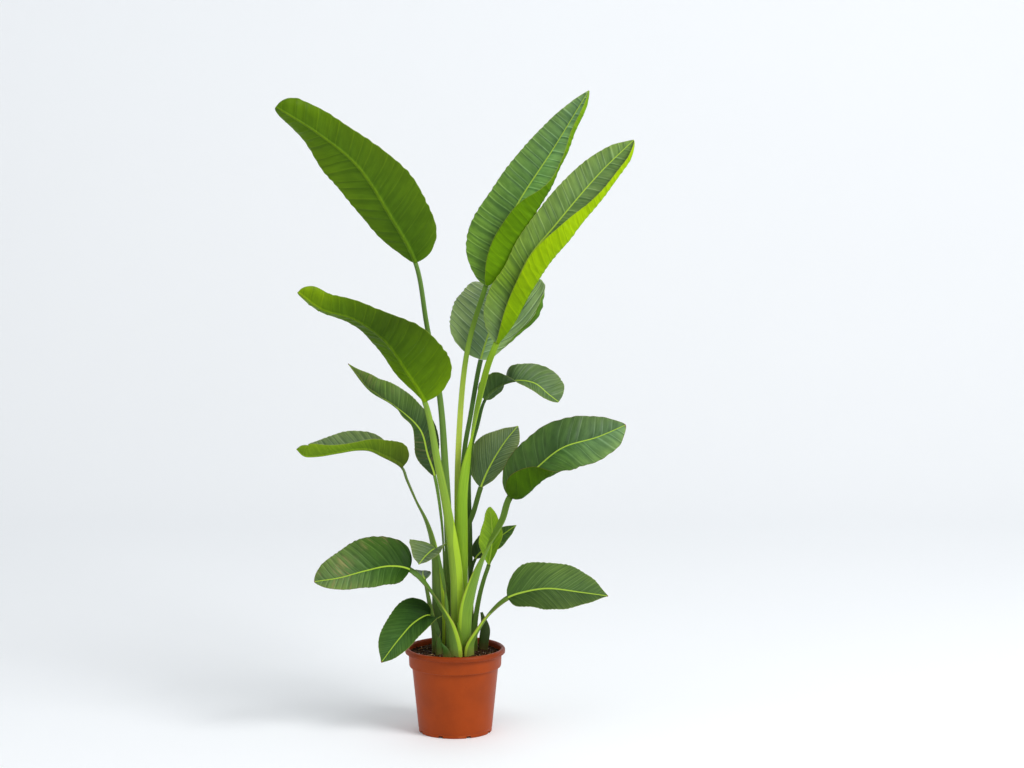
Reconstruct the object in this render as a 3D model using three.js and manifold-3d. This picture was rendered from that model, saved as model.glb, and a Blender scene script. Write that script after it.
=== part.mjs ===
// Bird of paradise plant (Strelitzia) standing in a round nursery pot.
// Millimetres. +Z is up, +X is to the right and +Y is away from the front.
// The origin is the centre of the pot's flat underside.
import * as THREE from "three";
import { mergeVertices } from "three/addons/utils/BufferGeometryUtils.js";
import Module from "manifold-3d";

const wasm = await Module();
wasm.setup();

// ---------------------------------------------------------------- driving dimensions
const RIM_DIAMETER = 190;
const RIM_HEIGHT = 10; // of the outer face of the rim
const RIM_INSIDE_DIAMETER = 174;
const RIM_ROUNDING = 1.5;
const RIM_SLOPE = 3; // how far the top of the rim falls to its outer edge
const POT_HEIGHT = 162;
const FOOT_DIAMETER = 139;
const BODY_TOP_DIAMETER = 164; // just below the collar
const COLLAR_DIAMETER = 175;
const COLLAR_HEIGHT = 36; // from the step up to the top of the rim
const COLLAR_TAPER = 1; // widening of the collar's radius towards the rim
const POT_WALL = 2;
const POT_FLOOR = 2.4;
const FOOT_BAND = 7.5; // height of the slightly narrower band at the foot
const FOOT_BAND_STEP = 0.8;
const FOOT_ROUNDING = 1;
const DRAIN_SLOTS = 8; // small openings in the corner between wall and floor
const DRAIN_WIDTH = 9;
const DRAIN_HEIGHT = 4;
const DRAIN_REACH = 7; // from the outside of the wall in under the floor
const POT_SIDES = 44;

const SOIL_EDGE_TOP = 150.5; // height of the soil where it meets the pot
const SOIL_MOUND = 4.5; // how much higher the soil stands round the stalks
const SOIL_CRUMB = 1.2; // height of the crumbs
const SOIL_RINGS = 5;
const STALK_FOOT = 118; // height at which the stalks end, in the soil
const CLEARANCE = 0.3; // between neighbouring pieces

const BLADE_THICKNESS = 0.8;
const BLADE_BASE_ROUNDING = 0.13; // share of the length over which the base is rounded
const BLADE_TIP_ROUNDING = 0.16; // the same at the tip, where a leaf gives no share of its own
const BLADE_TIP_BLUNTNESS = 0.7; // power of the tip's rounding, where a leaf gives none of its own
const RIB_HALF_WIDTH = 4; // of the midrib on the underside of a blade
const RIB_TIP_DEPTH = 1.4;
const BLADE_ROW = 30; // step along a blade
const BLADE_COLUMNS = [0.33, 0.67, 1]; // shares of the reach
const ROLLED_COLUMNS = [0.2, 0.36, 0.5, 0.65, 0.82, 1]; // the same for a half that rolls over
const ARC_STEPS = 24; // pieces of the sum that bends a half
const STALK_STEP = 50; // step along a stalk
const STALK_SIDES = 8;
const CHANNEL_FLATNESS = 0.45; // height of a stalk's upper side, as a share of a full ellipse

const BLADE_LOOK = { color: 0x4c7d36, roughness: 0.45 };
const STALK_LOOK = { color: 0x6b9a2e, roughness: 0.5 };
const SHOOT_LOOK = { color: 0x3f7a1c, roughness: 0.55 };
const YOUNG_SHEATH_LOOK = { color: 0x6f9f12, roughness: 0.55 };
const OLD_SHEATH_LOOK = { color: 0x33461a, roughness: 0.65 };
const POT_LOOK = { color: 0xb0521f, roughness: 0.45 };
const SOIL_LOOK = { color: 0x2c1d14, roughness: 0.95 };

// ---------------------------------------------------------------- leaves
// route: way points of the stalk, from the soil to the base of the blade; its foot
//   stands straight below the first one
// midrib: the further way points of the blade, up to its tip
// width, depth: of the stalk, at equal steps along it
// look: which way the channel of the stalk looks, at equal steps along it
// face: which way the upper face of the blade looks, at equal steps from base to tip
// left, right: the two halves of the blade, seen from above with the tip ahead
//   reach: distance from midrib to margin, at equal steps from base to tip
//   rise: angle in degrees by which the half rises towards the upper face
//   curl: further turn in degrees on the way to the margin, made between the
//         two shares of the reach that bend gives, each a number or a list at equal steps
// wave: height of the waves of the margin and their number
// lobe: how far the left and right halves reach back behind the base
// tip: share of the length over which the tip is rounded off
// blunt: power of that rounding, a smaller one making a fuller tip
const LEAVES = [
  {
    name: "top_left",
    route: [[-12, 24, 165], [-12, 23, 296], [-14, 18, 416], [-18, 12, 501], [-27, 0, 636], [-51, -20, 780],
      [-71, -40, 898]],
    midrib: [[-115, -62, 985], [-175, -92, 1081], [-244, -118, 1141], [-319, -138, 1190]],
    width: [15, 15, 15, 12, 10, 9],
    depth: [11, 10, 10, 9, 8, 7],
    look: [[0, 1, 0], [0, 1, 0], [0.3, 0.9, 0.3]],
    face: [[0.3, 0.9, 0.3], [0.1, 0.95, 0.3], [0.2, 0.9, 0.4]],
    left: { reach: [56, 74, 74, 52, 42, 34], rise: [5, 0, 0, 20], curl: [10, 0, 0, 60], bend: [0.3, 1] },
    right: { reach: [24, 47, 57, 58, 38, 30], rise: [5, 5, 5, 20], curl: [10, 5, 5, 60], bend: [0.3, 1] },
    wave: [1.5, 4],
    tip: 0.08,
    blunt: 0.5,
  },
  {
    name: "top_centre",
    route: [[6, 30, 165], [5, 26, 346], [6, 20, 519], [17, 22, 680], [30, 27, 754], [59, 34, 848]],
    midrib: [[84, 44, 921], [116, 55, 995], [187, 80, 1104], [253, 100, 1211]],
    width: [14, 13, 12, 11, 10, 9],
    depth: [11, 10, 10, 9, 8, 7],
    look: [[0, -1, 0], [0, -1, 0]],
    face: [[-0.2, -0.95, 0.2], [-0.2, -0.95, 0.2]],
    left: { reach: [40, 66, 57, 51, 35, 8], rise: [5, 5, 5], curl: [0, 0, 0], bend: [0, 1] },
    right: {
      reach: [54, 76, 92, 98, 94, 72, 58, 48, 38, 28, 16], rise: [20, 20, 28, 32, 30, 20],
      curl: [150, 155, 140, 100, 120, 130],
      bend: [[0.34, 0.33, 0.34, 0.4, 0.48, 0.64, 0.72, 0.68, 0.6, 0.55, 0.5],
        [0.6, 0.59, 0.6, 0.66, 0.74, 0.9, 1, 0.97, 0.9, 0.85, 0.8]],
    },
    wave: [2, 5],
    tip: 0.08,
  },
  {
    name: "top_right",
    route: [[17, 5, 165], [14, 4, 316], [13, 4, 400], [14, 4, 454], [21, 4, 510], [42, 2, 620],
      [63, 0, 702], [79, -4, 744]],
    midrib: [[134, 0, 894], [191, 5, 967], [272, 15, 1061], [335, 22, 1122]],
    width: [16, 18, 23, 19, 16, 12],
    depth: [11, 11, 11, 10, 9, 8],
    look: [[0, 1, 0], [0, 1, 0], [0, 1, 0], [-0.6, -0.2, 0.3], [-0.3, -0.95, 0.2]],
    face: [[-0.2, -0.95, 0.2], [-0.2, -0.95, 0.2]],
    left: {
      reach: [34, 42, 44, 33, 37, 41, 43, 41, 36, 25, 10], rise: [10, 10, 10], curl: [0, 0, 0],
      bend: [0, 1],
    },
    right: {
      reach: [32, 50, 66, 78, 86, 80, 70, 57, 50, 40, 30], rise: [5, 10, 10, 5],
      curl: [160, 165, 160, 150, 140, 120],
      bend: [[0.36, 0.36, 0.38, 0.41, 0.41, 0.44, 0.5, 0.6, 0.64, 0.6, 0.5],
        [0.6, 0.6, 0.62, 0.65, 0.65, 0.68, 0.74, 0.84, 0.88, 0.84, 0.8]],
    },
    wave: [2, 5],
    tip: 0.08,
  },
  {
    name: "mid_left",
    route: [[4, -9, 165], [4, -9, 246], [2, -12, 313], [-13, -16, 423], [-31, -22, 518], [-55, -34, 637]],
    midrib: [[-89, -60, 700], [-126, -92, 758], [-181, -130, 803], [-237, -160, 824], [-279, -180, 858]],
    width: [20, 25, 24, 17, 14, 11],
    depth: [12, 12, 12, 11, 9, 8],
    look: [[0, 1, 0], [0, 1, 0], [0.3, 0.9, 0.3]],
    face: [[0.2, 0.9, 0.4], [0.2, 0.9, 0.4]],
    left: { reach: [62, 90, 80, 48, 36, 28], rise: [0, 0, 0, 20], curl: [10, 0, 0, 50], bend: [0.3, 1] },
    right: {
      reach: [14, 36, 40, 26, 18, 18], rise: [20, 30, 30, 30], curl: [10, 0, 0, 40], bend: [0.3, 1],
    },
    wave: [0.8, 4],
    tip: 0.08,
    blunt: 0.5,
  },
  {
    name: "left_folded",
    route: [[-19, 10, 165], [-20, 13, 327], [-25, 12, 405], [-38, 12, 489]],
    midrib: [[-51, 12, 529], [-65, 6, 578], [-116, -4, 627], [-158, -14, 655], [-198, -22, 707]],
    width: [10, 9, 8, 8],
    depth: [8, 7, 6, 6],
    look: [[0, 1, 0], [0.6, -0.5, 0.3]],
    face: [[0.4, -0.85, 0.3], [0.3, -0.75, 0.55]],
    left: { reach: [14, 26, 13, 10, 8, 4], rise: [10, 10, 70, 80], curl: [0, 0, 0], bend: [0, 1] },
    right: { reach: [10, 26, 32, 36, 28, 6], rise: [20, 15, 10], curl: [0, 0, 0], bend: [0, 1] },
    wave: [2, 6],
  },
  {
    name: "left_arched",
    route: [[-31, -3, 165], [-32, -3, 276], [-39, -2, 354], [-52, -5, 404], [-71, -9, 445], [-89, -13, 487],
      [-98, -15, 510]],
    midrib: [[-138, -24, 535], [-158, -30, 545], [-182, -36, 547], [-217, -42, 542], [-256, -46, 536],
      [-280, -48, 537], [-294, -48, 550]],
    width: [22, 26, 24, 16, 13, 10],
    depth: [12, 12, 11, 10, 8, 7],
    look: [[0, 1, 0], [0.3, 0.6, 0.4], [0.5, -0.2, 0.8]],
    face: [[0.3, -0.1, 0.9], [0, -0.1, 1]],
    left: { reach: [44, 36, 20, 18, 28, 24], rise: [75, 70, 60, 60, 70], curl: [20, 20, 20], bend: [0, 1] },
    right: { reach: [20, 34, 40, 40, 32, 24], rise: [30, 40, 45, 45, 40], curl: [0, 0, 0], bend: [0, 1] },
    wave: [1, 4],
    tip: 0.07,
    blunt: 0.45,
  },
  {
    name: "low_left",
    route: [[2, -45, 160], [1, -43, 173], [-7, -40, 213], [-26, -44, 251], [-44, -50, 282],
      [-83, -60, 323]],
    midrib: [[-120, -72, 332], [-166, -88, 326], [-212, -102, 316], [-259, -114, 311]],
    width: [24, 26, 20, 14, 12, 11],
    depth: [10, 10, 10, 9, 9, 8],
    look: [[0, 1, 0], [0.4, 0.5, 0.6], [0.1, -0.75, 0.65]],
    face: [[-0.1, -0.75, 0.65], [-0.1, -0.75, 0.65]],
    left: { reach: [26, 44, 45, 38, 27, 14], rise: [10, 10, 10], curl: [0, 0, 0], bend: [0, 1] },
    right: { reach: [46, 60, 68, 58, 44, 24], rise: [10, 5, 5], curl: [0, 0, 0], bend: [0, 1] },
    wave: [0.8, 4],
    tip: 0.13,
    blunt: 0.6,
  },
  {
    name: "left_small",
    route: [[-13, -18, 198], [-18, -16, 266], [-28, -15, 326], [-36, -18, 353]],
    midrib: [[-52, -40, 347], [-66, -72, 336]],
    width: [9, 8, 7, 6],
    depth: [7, 6, 5, 5],
    look: [[0, 1, 0], [-0.2, -0.5, 0.7]],
    face: [[0, -0.5, 0.85], [0, -0.5, 0.85]],
    left: {
      reach: [36, 38, 35, 27, 15, 4], rise: [50, 40, 20, 10], curl: [0, 0, 0], bend: [0, 1], lobe: 14,
    },
    right: { reach: [8, 28, 44, 30, 18, 5], rise: [30, 25, 20, 10], curl: [0, 0, 0], bend: [0, 1] },
    wave: [0.8, 2],
  },
  {
    name: "left_tiny",
    route: [[-37, -14, 165], [-39, -13, 198], [-47, -12, 243], [-57, -10, 294]],
    midrib: [[-61, 6, 300], [-61, 28, 304]],
    width: [14, 13, 10, 7],
    depth: [8, 7, 6, 6],
    look: [[0, 1, 0], [0.3, 0.5, 0.3]],
    face: [[0, -0.4, 0.9], [0, -0.2, 1]],
    left: { reach: [14, 24, 22, 18, 12, 4], rise: [20, 20], curl: [0, 0, 0], bend: [0, 1] },
    right: { reach: [10, 15, 16, 13, 9, 4], rise: [20, 20], curl: [0, 0, 0], bend: [0, 1] },
    wave: [1, 2],
  },
  {
    name: "lowest_left",
    route: [[-30, -31, 160], [-32, -31, 198], [-46, -32, 229]],
    midrib: [[-74, -50, 221], [-102, -66, 194], [-137, -80, 150]],
    width: [15, 14, 10, 8],
    depth: [9, 8, 7, 6],
    look: [[0, 1, 0], [-0.2, -0.6, 0.7]],
    face: [[-0.2, -0.75, 0.6], [-0.2, -0.75, 0.6]],
    left: {
      reach: [40, 40, 37, 31, 22, 6], rise: [44, 22, 10, 5], curl: [0, 0, 0], bend: [0, 1], lobe: 27,
    },
    right: { reach: [38, 48, 44, 40, 29, 6], rise: [20, 10, 5], curl: [0, 0, 0], bend: [0, 1] },
    wave: [1, 3],
    tip: 0.12,
    blunt: 0.6,
  },
  {
    name: "right_large",
    route: [[18, -25, 165], [21, -25, 239], [38, -28, 303], [63, -32, 365], [89, -35, 413],
      [104, -37, 457]],
    midrib: [[159, -36, 516], [203, -34, 550], [269, -30, 570], [321, -26, 592]],
    width: [22, 26, 27, 20, 17, 14],
    depth: [12, 12, 12, 11, 10, 9],
    look: [[0, 1, 0], [-0.4, 0.5, 0.3], [-0.4, -0.75, 0.5]],
    face: [[-0.3, -0.8, 0.5], [-0.2, -0.8, 0.55]],
    left: { reach: [34, 54, 58, 55, 44, 16], rise: [10, 5, 5], curl: [0, 0, 0], bend: [0, 1] },
    right: {
      reach: [84, 90, 86, 72, 60, 60, 58, 53, 46, 36, 22], rise: [20, 20, 15, 5, 5],
      curl: [140, 140, 140, 125, 60, 10, 5, 5, 5, 5, 5],
      bend: [[0.36, 0.33, 0.36, 0.46, 0.7, 0.8, 0.8, 0.8, 0.8, 0.8, 0.8],
        [0.62, 0.59, 0.62, 0.72, 0.98, 1, 1, 1, 1, 1, 1]],
    },
    wave: [1.5, 5],
    tip: 0.12,
    blunt: 0.6,
  },
  {
    name: "right_dark",
    route: [[18, 21, 165], [19, 17, 346], [23, 17, 387], [34, 18, 415], [49, 20, 466]],
    midrib: [[66, 23, 505], [94, 20, 552], [119, 14, 584]],
    width: [11, 11, 10, 10],
    depth: [8, 8, 7, 7],
    look: [[0, -1, 0], [-0.3, -0.9, 0.3]],
    face: [[-0.3, -0.9, 0.3], [-0.3, -0.9, 0.3]],
    left: { reach: [18, 39, 51, 43, 22, 6], rise: [0, 0, 5], curl: [0, 0, 0], bend: [0, 1] },
    right: { reach: [8, 23, 32, 32, 30, 18], rise: [10, 20, 10], curl: [0, 0, 0], bend: [0, 1] },
    wave: [1, 4],
  },
  {
    name: "right_low",
    route: [[27, -42, 160], [29, -40, 176], [48, -42, 214], [65, -48, 238], [100, -58, 269]],
    midrib: [[132, -62, 281], [175, -70, 289], [239, -82, 284], [287, -90, 279]],
    width: [18, 20, 16, 13, 12],
    depth: [10, 10, 10, 9, 8],
    look: [[0, 1, 0], [-0.4, 0.3, 0.8], [0, -0.6, 0.8]],
    face: [[0, -0.8, 0.6], [0, -0.8, 0.6]],
    left: { reach: [24, 52, 50, 48, 33, 10], rise: [15, 10, 5], curl: [0, 0, 0], bend: [0, 1] },
    right: { reach: [24, 34, 47, 44, 25, 6], rise: [10, 10, 10], curl: [0, 0, 0], bend: [0, 1], lobe: 8 },
    wave: [1, 4],
  },
  {
    name: "young",
    route: [[37, -8, 165], [38, -4, 209], [47, 0, 263], [56, 2, 296], [64, 3, 320]],
    midrib: [[70, 4, 360], [70, 6, 396], [66, 10, 430]],
    width: [11, 11, 9, 8],
    depth: [8, 8, 7, 6],
    look: [[0, -1, 0], [-0.3, -0.9, 0.1]],
    face: [[-0.2, -0.95, 0.1], [-0.2, -0.95, 0.1]],
    left: { reach: [8, 20, 28, 23, 15, 9], rise: [40, 30, 30], curl: [20, 10, 10], bend: [0, 1] },
    right: { reach: [6, 14, 24, 27, 18, 9], rise: [40, 30, 30], curl: [20, 10, 10], bend: [0, 1] },
    wave: [1, 3],
    tip: 0.14,
    blunt: 0.5,
  },
  {
    name: "right_hidden",
    route: [[36, 12, 165], [30, 18, 226], [28, 20, 286], [38, 19, 328]],
    midrib: [[57, 23, 348], [85, 28, 369], [116, 31, 391]],
    width: [10, 9, 8, 7],
    depth: [8, 7, 6, 6],
    look: [[0, -1, 0], [-0.5, -0.6, 0.6]],
    face: [[-0.4, -0.8, 0.5], [-0.2, -0.8, 0.5]],
    left: { reach: [16, 26, 30, 22, 12, 4], rise: [0, 0, 5], curl: [0, 0, 0], bend: [0, 1] },
    right: { reach: [8, 16, 20, 19, 12, 4], rise: [10, 5, 5], curl: [0, 0, 0], bend: [0, 1] },
    wave: [1, 3],
  },
  {
    name: "right_arched",
    route: [[30, 34, 165], [28, 38, 376], [26, 31, 476], [30, 27, 538], [42, 28, 581], [57, 30, 632]],
    midrib: [[80, 28, 655], [114, 22, 669], [151, 16, 665], [177, 10, 645], [196, 6, 631]],
    width: [11, 10, 9, 9, 8],
    depth: [9, 8, 8, 7, 6],
    look: [[0, -1, 0], [-0.4, -0.4, 0.4]],
    face: [[-0.35, 0.75, 0.45], [-0.35, 0.75, 0.45], [-0.35, 0.75, 0.4], [-0.35, 0.6, 0.5],
      [-0.3, 0.2, 0.8], [-0.2, -0.35, 0.85], [-0.15, -0.55, 0.8], [-0.1, -0.6, 0.8], [0, -0.6, 0.8],
      [0.15, -0.65, 0.7], [0.3, -0.7, 0.6]],
    left: {
      reach: [20, 17, 16, 22, 30, 34, 40, 43, 44, 40, 34], rise: [5, 5, 10, 60, 80, 40, 15, 8, 5, 5, 5],
      curl: [0, 0, 0], bend: [0, 1],
    },
    right: {
      reach: [32, 36, 37, 36, 28, 22, 20, 19, 17, 12, 8], rise: [5, 5, 5, 8, 15, 12, 10, 8, 5, 5, 5],
      curl: [0, 0, 0], bend: [0, 1],
    },
    wave: [1, 4],
    tip: 0.1,
    blunt: 0.5,
  },
  {
    name: "back_round",
    route: [[12, 45, 165], [14, 40, 346], [17, 34, 525], [30, 32, 604], [49, 38, 707]],
    midrib: [[66, 48, 761], [85, 80, 811], [104, 130, 836], [123, 185, 825], [137, 220, 796]],
    width: [11, 11, 10, 9, 9],
    depth: [9, 9, 8, 8, 7],
    look: [[0, -1, 0], [0, -0.9, 0.4]],
    face: [[-0.2, -0.85, 0.4], [-0.2, -0.5, 0.85], [0.2, 0, 1]],
    left: { reach: [60, 82, 86, 76, 50, 14], rise: [5, 5, 0], curl: [0, 0, 0], bend: [0, 1] },
    right: {
      reach: [34, 42, 76, 128, 126, 86, 52, 38, 28, 20, 10], rise: [10, 14, 26, 30, 20, 10],
      curl: [0, 60, 130, 130, 40, 0, 0, 0, 0, 0, 0], bend: [0.84, 1],
    },
    wave: [2, 4],
  },
];

// ---------------------------------------------------------------- helpers
const vector = (p) => new THREE.Vector3(...p);
const radians = THREE.MathUtils.degToRad;
const { lerp, smoothstep } = THREE.MathUtils;

// Value at t (0 to 1) of a smooth curve through numbers that stand at equal steps.
function along(values, t) {
  const last = values.length - 1;
  const place = Math.min(Math.max(t, 0), 1) * last;
  const step = Math.min(Math.floor(place), last - 1);
  const at = (i) => values[Math.min(Math.max(i, 0), last)];
  return catmullRom(at(step - 1), at(step), at(step + 1), at(step + 2), place - step);
}

function catmullRom(a, b, c, d, f) {
  return b + 0.5 * f * (c - a + f * (2 * a - 5 * b + 4 * c - d + f * (3 * (b - c) + d - a)));
}

const alongDirections = (list, t) => vector([0, 1, 2].map((axis) => along(list.map((p) => p[axis]), t)));

function indexed(positions, faces) {
  const geometry = new THREE.BufferGeometry();
  geometry.setAttribute("position", new THREE.Float32BufferAttribute(positions, 3));
  geometry.setIndex(faces);
  return geometry;
}

// A closed mesh from rows of points: each row is a ring, and both end rings are capped.
function ringsGeometry(rings) {
  const sides = rings[0].length;
  const positions = rings.flat().flatMap((p) => [p.x, p.y, p.z]);
  const faces = [];
  for (let i = 0; i + 1 < rings.length; i++) {
    for (let j = 0; j < sides; j++) {
      const a = i * sides + j;
      const b = i * sides + ((j + 1) % sides);
      faces.push(a, b + sides, b, a, a + sides, b + sides);
    }
  }
  const last = (rings.length - 1) * sides;
  for (let j = 1; j + 1 < sides; j++) {
    faces.push(0, j, j + 1);
    faces.push(last, last + j + 1, last + j);
  }
  return indexed(positions, faces);
}

// A closed plate between two grids of points, split into triangles alike on both.
function plateGeometry(upper, lower, rows, columns) {
  const positions = [...upper, ...lower].flatMap((p) => [p.x, p.y, p.z]);
  const under = upper.length;
  const at = (i, j) => i * columns + j;
  const faces = [];
  const wall = (a, b) => faces.push(b, a, a + under, b, a + under, b + under);
  for (let i = 0; i + 1 < rows; i++) {
    for (let j = 0; j + 1 < columns; j++) {
      const a = at(i, j);
      const b = at(i, j + 1);
      const c = at(i + 1, j + 1);
      const d = at(i + 1, j);
      faces.push(a, b, c, a, c, d);
      faces.push(a + under, c + under, b + under, a + under, d + under, c + under);
    }
    wall(at(i, columns - 1), at(i + 1, columns - 1));
    wall(at(i + 1, 0), at(i, 0));
  }
  for (let j = 0; j + 1 < columns; j++) {
    wall(at(0, j), at(0, j + 1));
    wall(at(rows - 1, j + 1), at(rows - 1, j));
  }
  return indexed(positions, faces);
}

function solidFrom(geometry) {
  const bare = geometry.clone();
  bare.deleteAttribute("normal");
  bare.deleteAttribute("uv");
  const merged = mergeVertices(bare, 1e-3);
  return new wasm.Manifold(new wasm.Mesh({
    numProp: 3,
    vertProperties: merged.attributes.position.array,
    triVerts: new Uint32Array(merged.index.array),
  }));
}

function geometryFrom(solid) {
  const { vertProperties, triVerts, numProp } = solid.getMesh();
  const positions = [];
  for (let i = 0; i < vertProperties.length; i += numProp) {
    positions.push(vertProperties[i], vertProperties[i + 1], vertProperties[i + 2]);
  }
  return indexed(positions, Array.from(triVerts));
}

// ---------------------------------------------------------------- lines of the leaves
const CURVE_STEPS = 40; // between two way points

const withFoot = (route) => [[route[0][0], route[0][1], STALK_FOOT], ...route];

// The line of a leaf: the stalk and the midrib are one smooth curve.
function leafLine(leaf) {
  const curve = new THREE.CatmullRomCurve3([...withFoot(leaf.route), ...leaf.midrib].map(vector));
  const steps = CURVE_STEPS * (curve.points.length - 1);
  curve.arcLengthDivisions = steps;
  const lengths = curve.getLengths(steps);
  return { curve, total: lengths[steps], stalk: lengths[CURVE_STEPS * leaf.route.length] };
}

function sheathLine(sheath) {
  const curve = new THREE.CatmullRomCurve3(withFoot(sheath.route).map(vector));
  const total = curve.getLength();
  return { curve, total, stalk: total };
}

// Point and axes at a distance along the line: forward, up (towards the face) and side.
function frameAt(line, distance, towards) {
  const share = Math.min(Math.max(distance / line.total, 0), 1);
  const point = line.curve.getPointAt(share);
  const forward = line.curve.getTangentAt(share).normalize();
  const up = towards.clone().addScaledVector(forward, -towards.dot(forward)).normalize();
  const side = new THREE.Vector3().crossVectors(forward, up);
  return { point, forward, up, side };
}

const place = (frame, across, high, ahead = 0) =>
  frame.point.clone().addScaledVector(frame.side, across).addScaledVector(frame.up, high)
    .addScaledVector(frame.forward, ahead);

// ---------------------------------------------------------------- stalks
// Section of a stalk: rounded outside, nearly flat in the channel on its upper side.
function stalkRing(frame, width, depth) {
  const ring = [];
  for (let j = 0; j < STALK_SIDES; j++) {
    const angle = (2 * Math.PI * (j + 0.5)) / STALK_SIDES;
    const high = Math.sin(angle) * (Math.sin(angle) > 0 ? CHANNEL_FLATNESS : 1);
    ring.push(place(frame, (Math.cos(angle) * width) / 2, (high * depth) / 2));
  }
  return ring;
}

// The stalk as a solid, or with a clearance the hole that it stands in.
function stalkGeometry(leaf, line, clearance) {
  const rings = [];
  const count = Math.max(3, Math.ceil(line.stalk / STALK_STEP));
  for (let i = 0; i <= count; i++) {
    const t = i / count;
    const frame = frameAt(line, line.stalk * t, alongDirections(leaf.look, t));
    if (i === 0) frame.point.z -= clearance;
    rings.push(stalkRing(frame, along(leaf.width, t) + 2 * clearance, along(leaf.depth, t) + 2 * clearance));
  }
  return ringsGeometry(rings);
}

// ---------------------------------------------------------------- blades
// Share of the full reach at t: the blade is rounded at its base and narrows to its tip.
function outline(t, { tip: tipRounding = BLADE_TIP_ROUNDING, blunt = BLADE_TIP_BLUNTNESS }) {
  const base = Math.min(t / BLADE_BASE_ROUNDING, 1);
  const tip = Math.min((1 - t) / tipRounding, 1);
  return Math.sqrt(base * (2 - base)) * Math.pow(tip * (2 - tip), blunt);
}

// Point of one half at share u of its reach, and the angle of the half there.
function halfPoint(half, t, u, reach) {
  const rise = along(half.rise, t);
  const curl = along(half.curl, t);
  const [start, end] = half.bend.map((share) => (Array.isArray(share) ? along(share, t) : share));
  let across = 0;
  let high = 0;
  let angle = radians(rise);
  for (let k = 0; k < ARC_STEPS; k++) {
    const v = (u * (k + 0.5)) / ARC_STEPS;
    angle = radians(rise + curl * smoothstep(v, start, end));
    across += (Math.cos(angle) * reach * u) / ARC_STEPS;
    high += (Math.sin(angle) * reach * u) / ARC_STEPS;
  }
  return { across, high, angle };
}

// The columns of a blade from its left margin over the midrib to its right margin.
function bladeColumns({ left, right }) {
  const shares = (half) => (Math.max(...half.curl) > 90 ? ROLLED_COLUMNS : BLADE_COLUMNS);
  return [
    ...shares(left).toReversed().map((share) => ({ half: left, sign: -1, share })),
    { half: left, sign: -1, share: "rib" },
    { half: left, sign: 1, share: 0 },
    { half: right, sign: 1, share: "rib" },
    ...shares(right).map((share) => ({ half: right, sign: 1, share })),
  ];
}

// Upper and lower point of one column where the blade has the given frame.
function bladePoints(leaf, frame, t, column) {
  const { half, sign } = column;
  const full = outline(t, leaf);
  const narrowest = lerp(0.35 * leaf.width.at(-1), 1, t);
  const reach = Math.max(narrowest, along(half.reach, t) * full);
  const rib = Math.min(0.25, (RIB_HALF_WIDTH * (1 - 0.6 * t)) / reach);
  const share = column.share === "rib" ? rib : column.share;
  const { across, high, angle } = halfPoint(half, t, share, reach);
  const nx = -Math.sin(angle) * sign;
  const ny = Math.cos(angle);
  const [waveHeight, waves] = leaf.wave;
  const swell = waveHeight * share ** 2 * Math.sin(Math.PI * t);
  const wave = swell * Math.sin(2 * Math.PI * waves * t + sign);
  const x = across * sign + nx * wave;
  const y = high + ny * wave;
  const back = (half.lobe ?? 0) * (share * full) ** 3 * (1 - t) ** 5;
  const ribDepth = lerp(0.5 * leaf.depth.at(-1), RIB_TIP_DEPTH, t);
  const under = share === 0 ? [0, ribDepth] : [nx * BLADE_THICKNESS, ny * BLADE_THICKNESS];
  return [place(frame, x, y, -back), place(frame, x - under[0], y - under[1], -back)];
}

function bladeGeometry(leaf, line) {
  const length = line.total - line.stalk - CLEARANCE;
  const rows = Math.min(14, Math.max(8, Math.round(length / BLADE_ROW) + 4));
  const columns = bladeColumns(leaf);
  const upper = [];
  const lower = [];
  for (let i = 0; i <= rows; i++) {
    const t = 0.5 - 0.5 * Math.cos((Math.PI * i) / rows);
    const frame = frameAt(line, line.stalk + CLEARANCE + length * t, alongDirections(leaf.face, t));
    for (const column of columns) {
      const [top, bottom] = bladePoints(leaf, frame, t, column);
      upper.push(top);
      lower.push(bottom);
    }
  }
  return plateGeometry(upper, lower, rows + 1, columns.length);
}

// ---------------------------------------------------------------- small sheaths at the foot
// The same fields as a leaf's stalk. The last width is that of the pointed end.
const SHEATHS = [
  {
    name: "front_shoot",
    route: [[-15, -56, 160], [-18, -57, 171], [-25, -57, 182]],
    width: [16, 18, 14, 2],
    depth: [5, 5, 4, 2],
    look: [[0, 1, 0], [0, 1, 0]],
    finish: SHOOT_LOOK,
  },
  {
    name: "inner_sheath",
    route: [[8, -35.5, 165], [9, -34, 190], [5, -33, 216]],
    width: [13, 14, 12, 2],
    depth: [4, 4, 4, 1.5],
    look: [[0, 1, 0], [0, 1, 0]],
    finish: YOUNG_SHEATH_LOOK,
  },
  {
    name: "back_sheath",
    route: [[54, 12, 165], [57, 13, 195], [50, 14, 226]],
    width: [15, 17, 19, 5],
    depth: [6, 6, 5, 2],
    look: [[0, 1, 0], [0, 1, 0]],
    finish: OLD_SHEATH_LOOK,
  },
];

// ---------------------------------------------------------------- pot and soil
const FOOT = FOOT_DIAMETER / 2;
const BODY_TOP = BODY_TOP_DIAMETER / 2;
const COLLAR = COLLAR_DIAMETER / 2;
const RIM = RIM_DIAMETER / 2;
const RIM_INSIDE = RIM_INSIDE_DIAMETER / 2;
const STEP_HEIGHT = POT_HEIGHT - COLLAR_HEIGHT;
const RIM_UNDERSIDE = POT_HEIGHT - RIM_HEIGHT;

// A body of revolution about Z from radii and heights.
const lathe = (points) =>
  new THREE.LatheGeometry(points.map(([r, z]) => new THREE.Vector2(r, z)), POT_SIDES).rotateX(Math.PI / 2);

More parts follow.
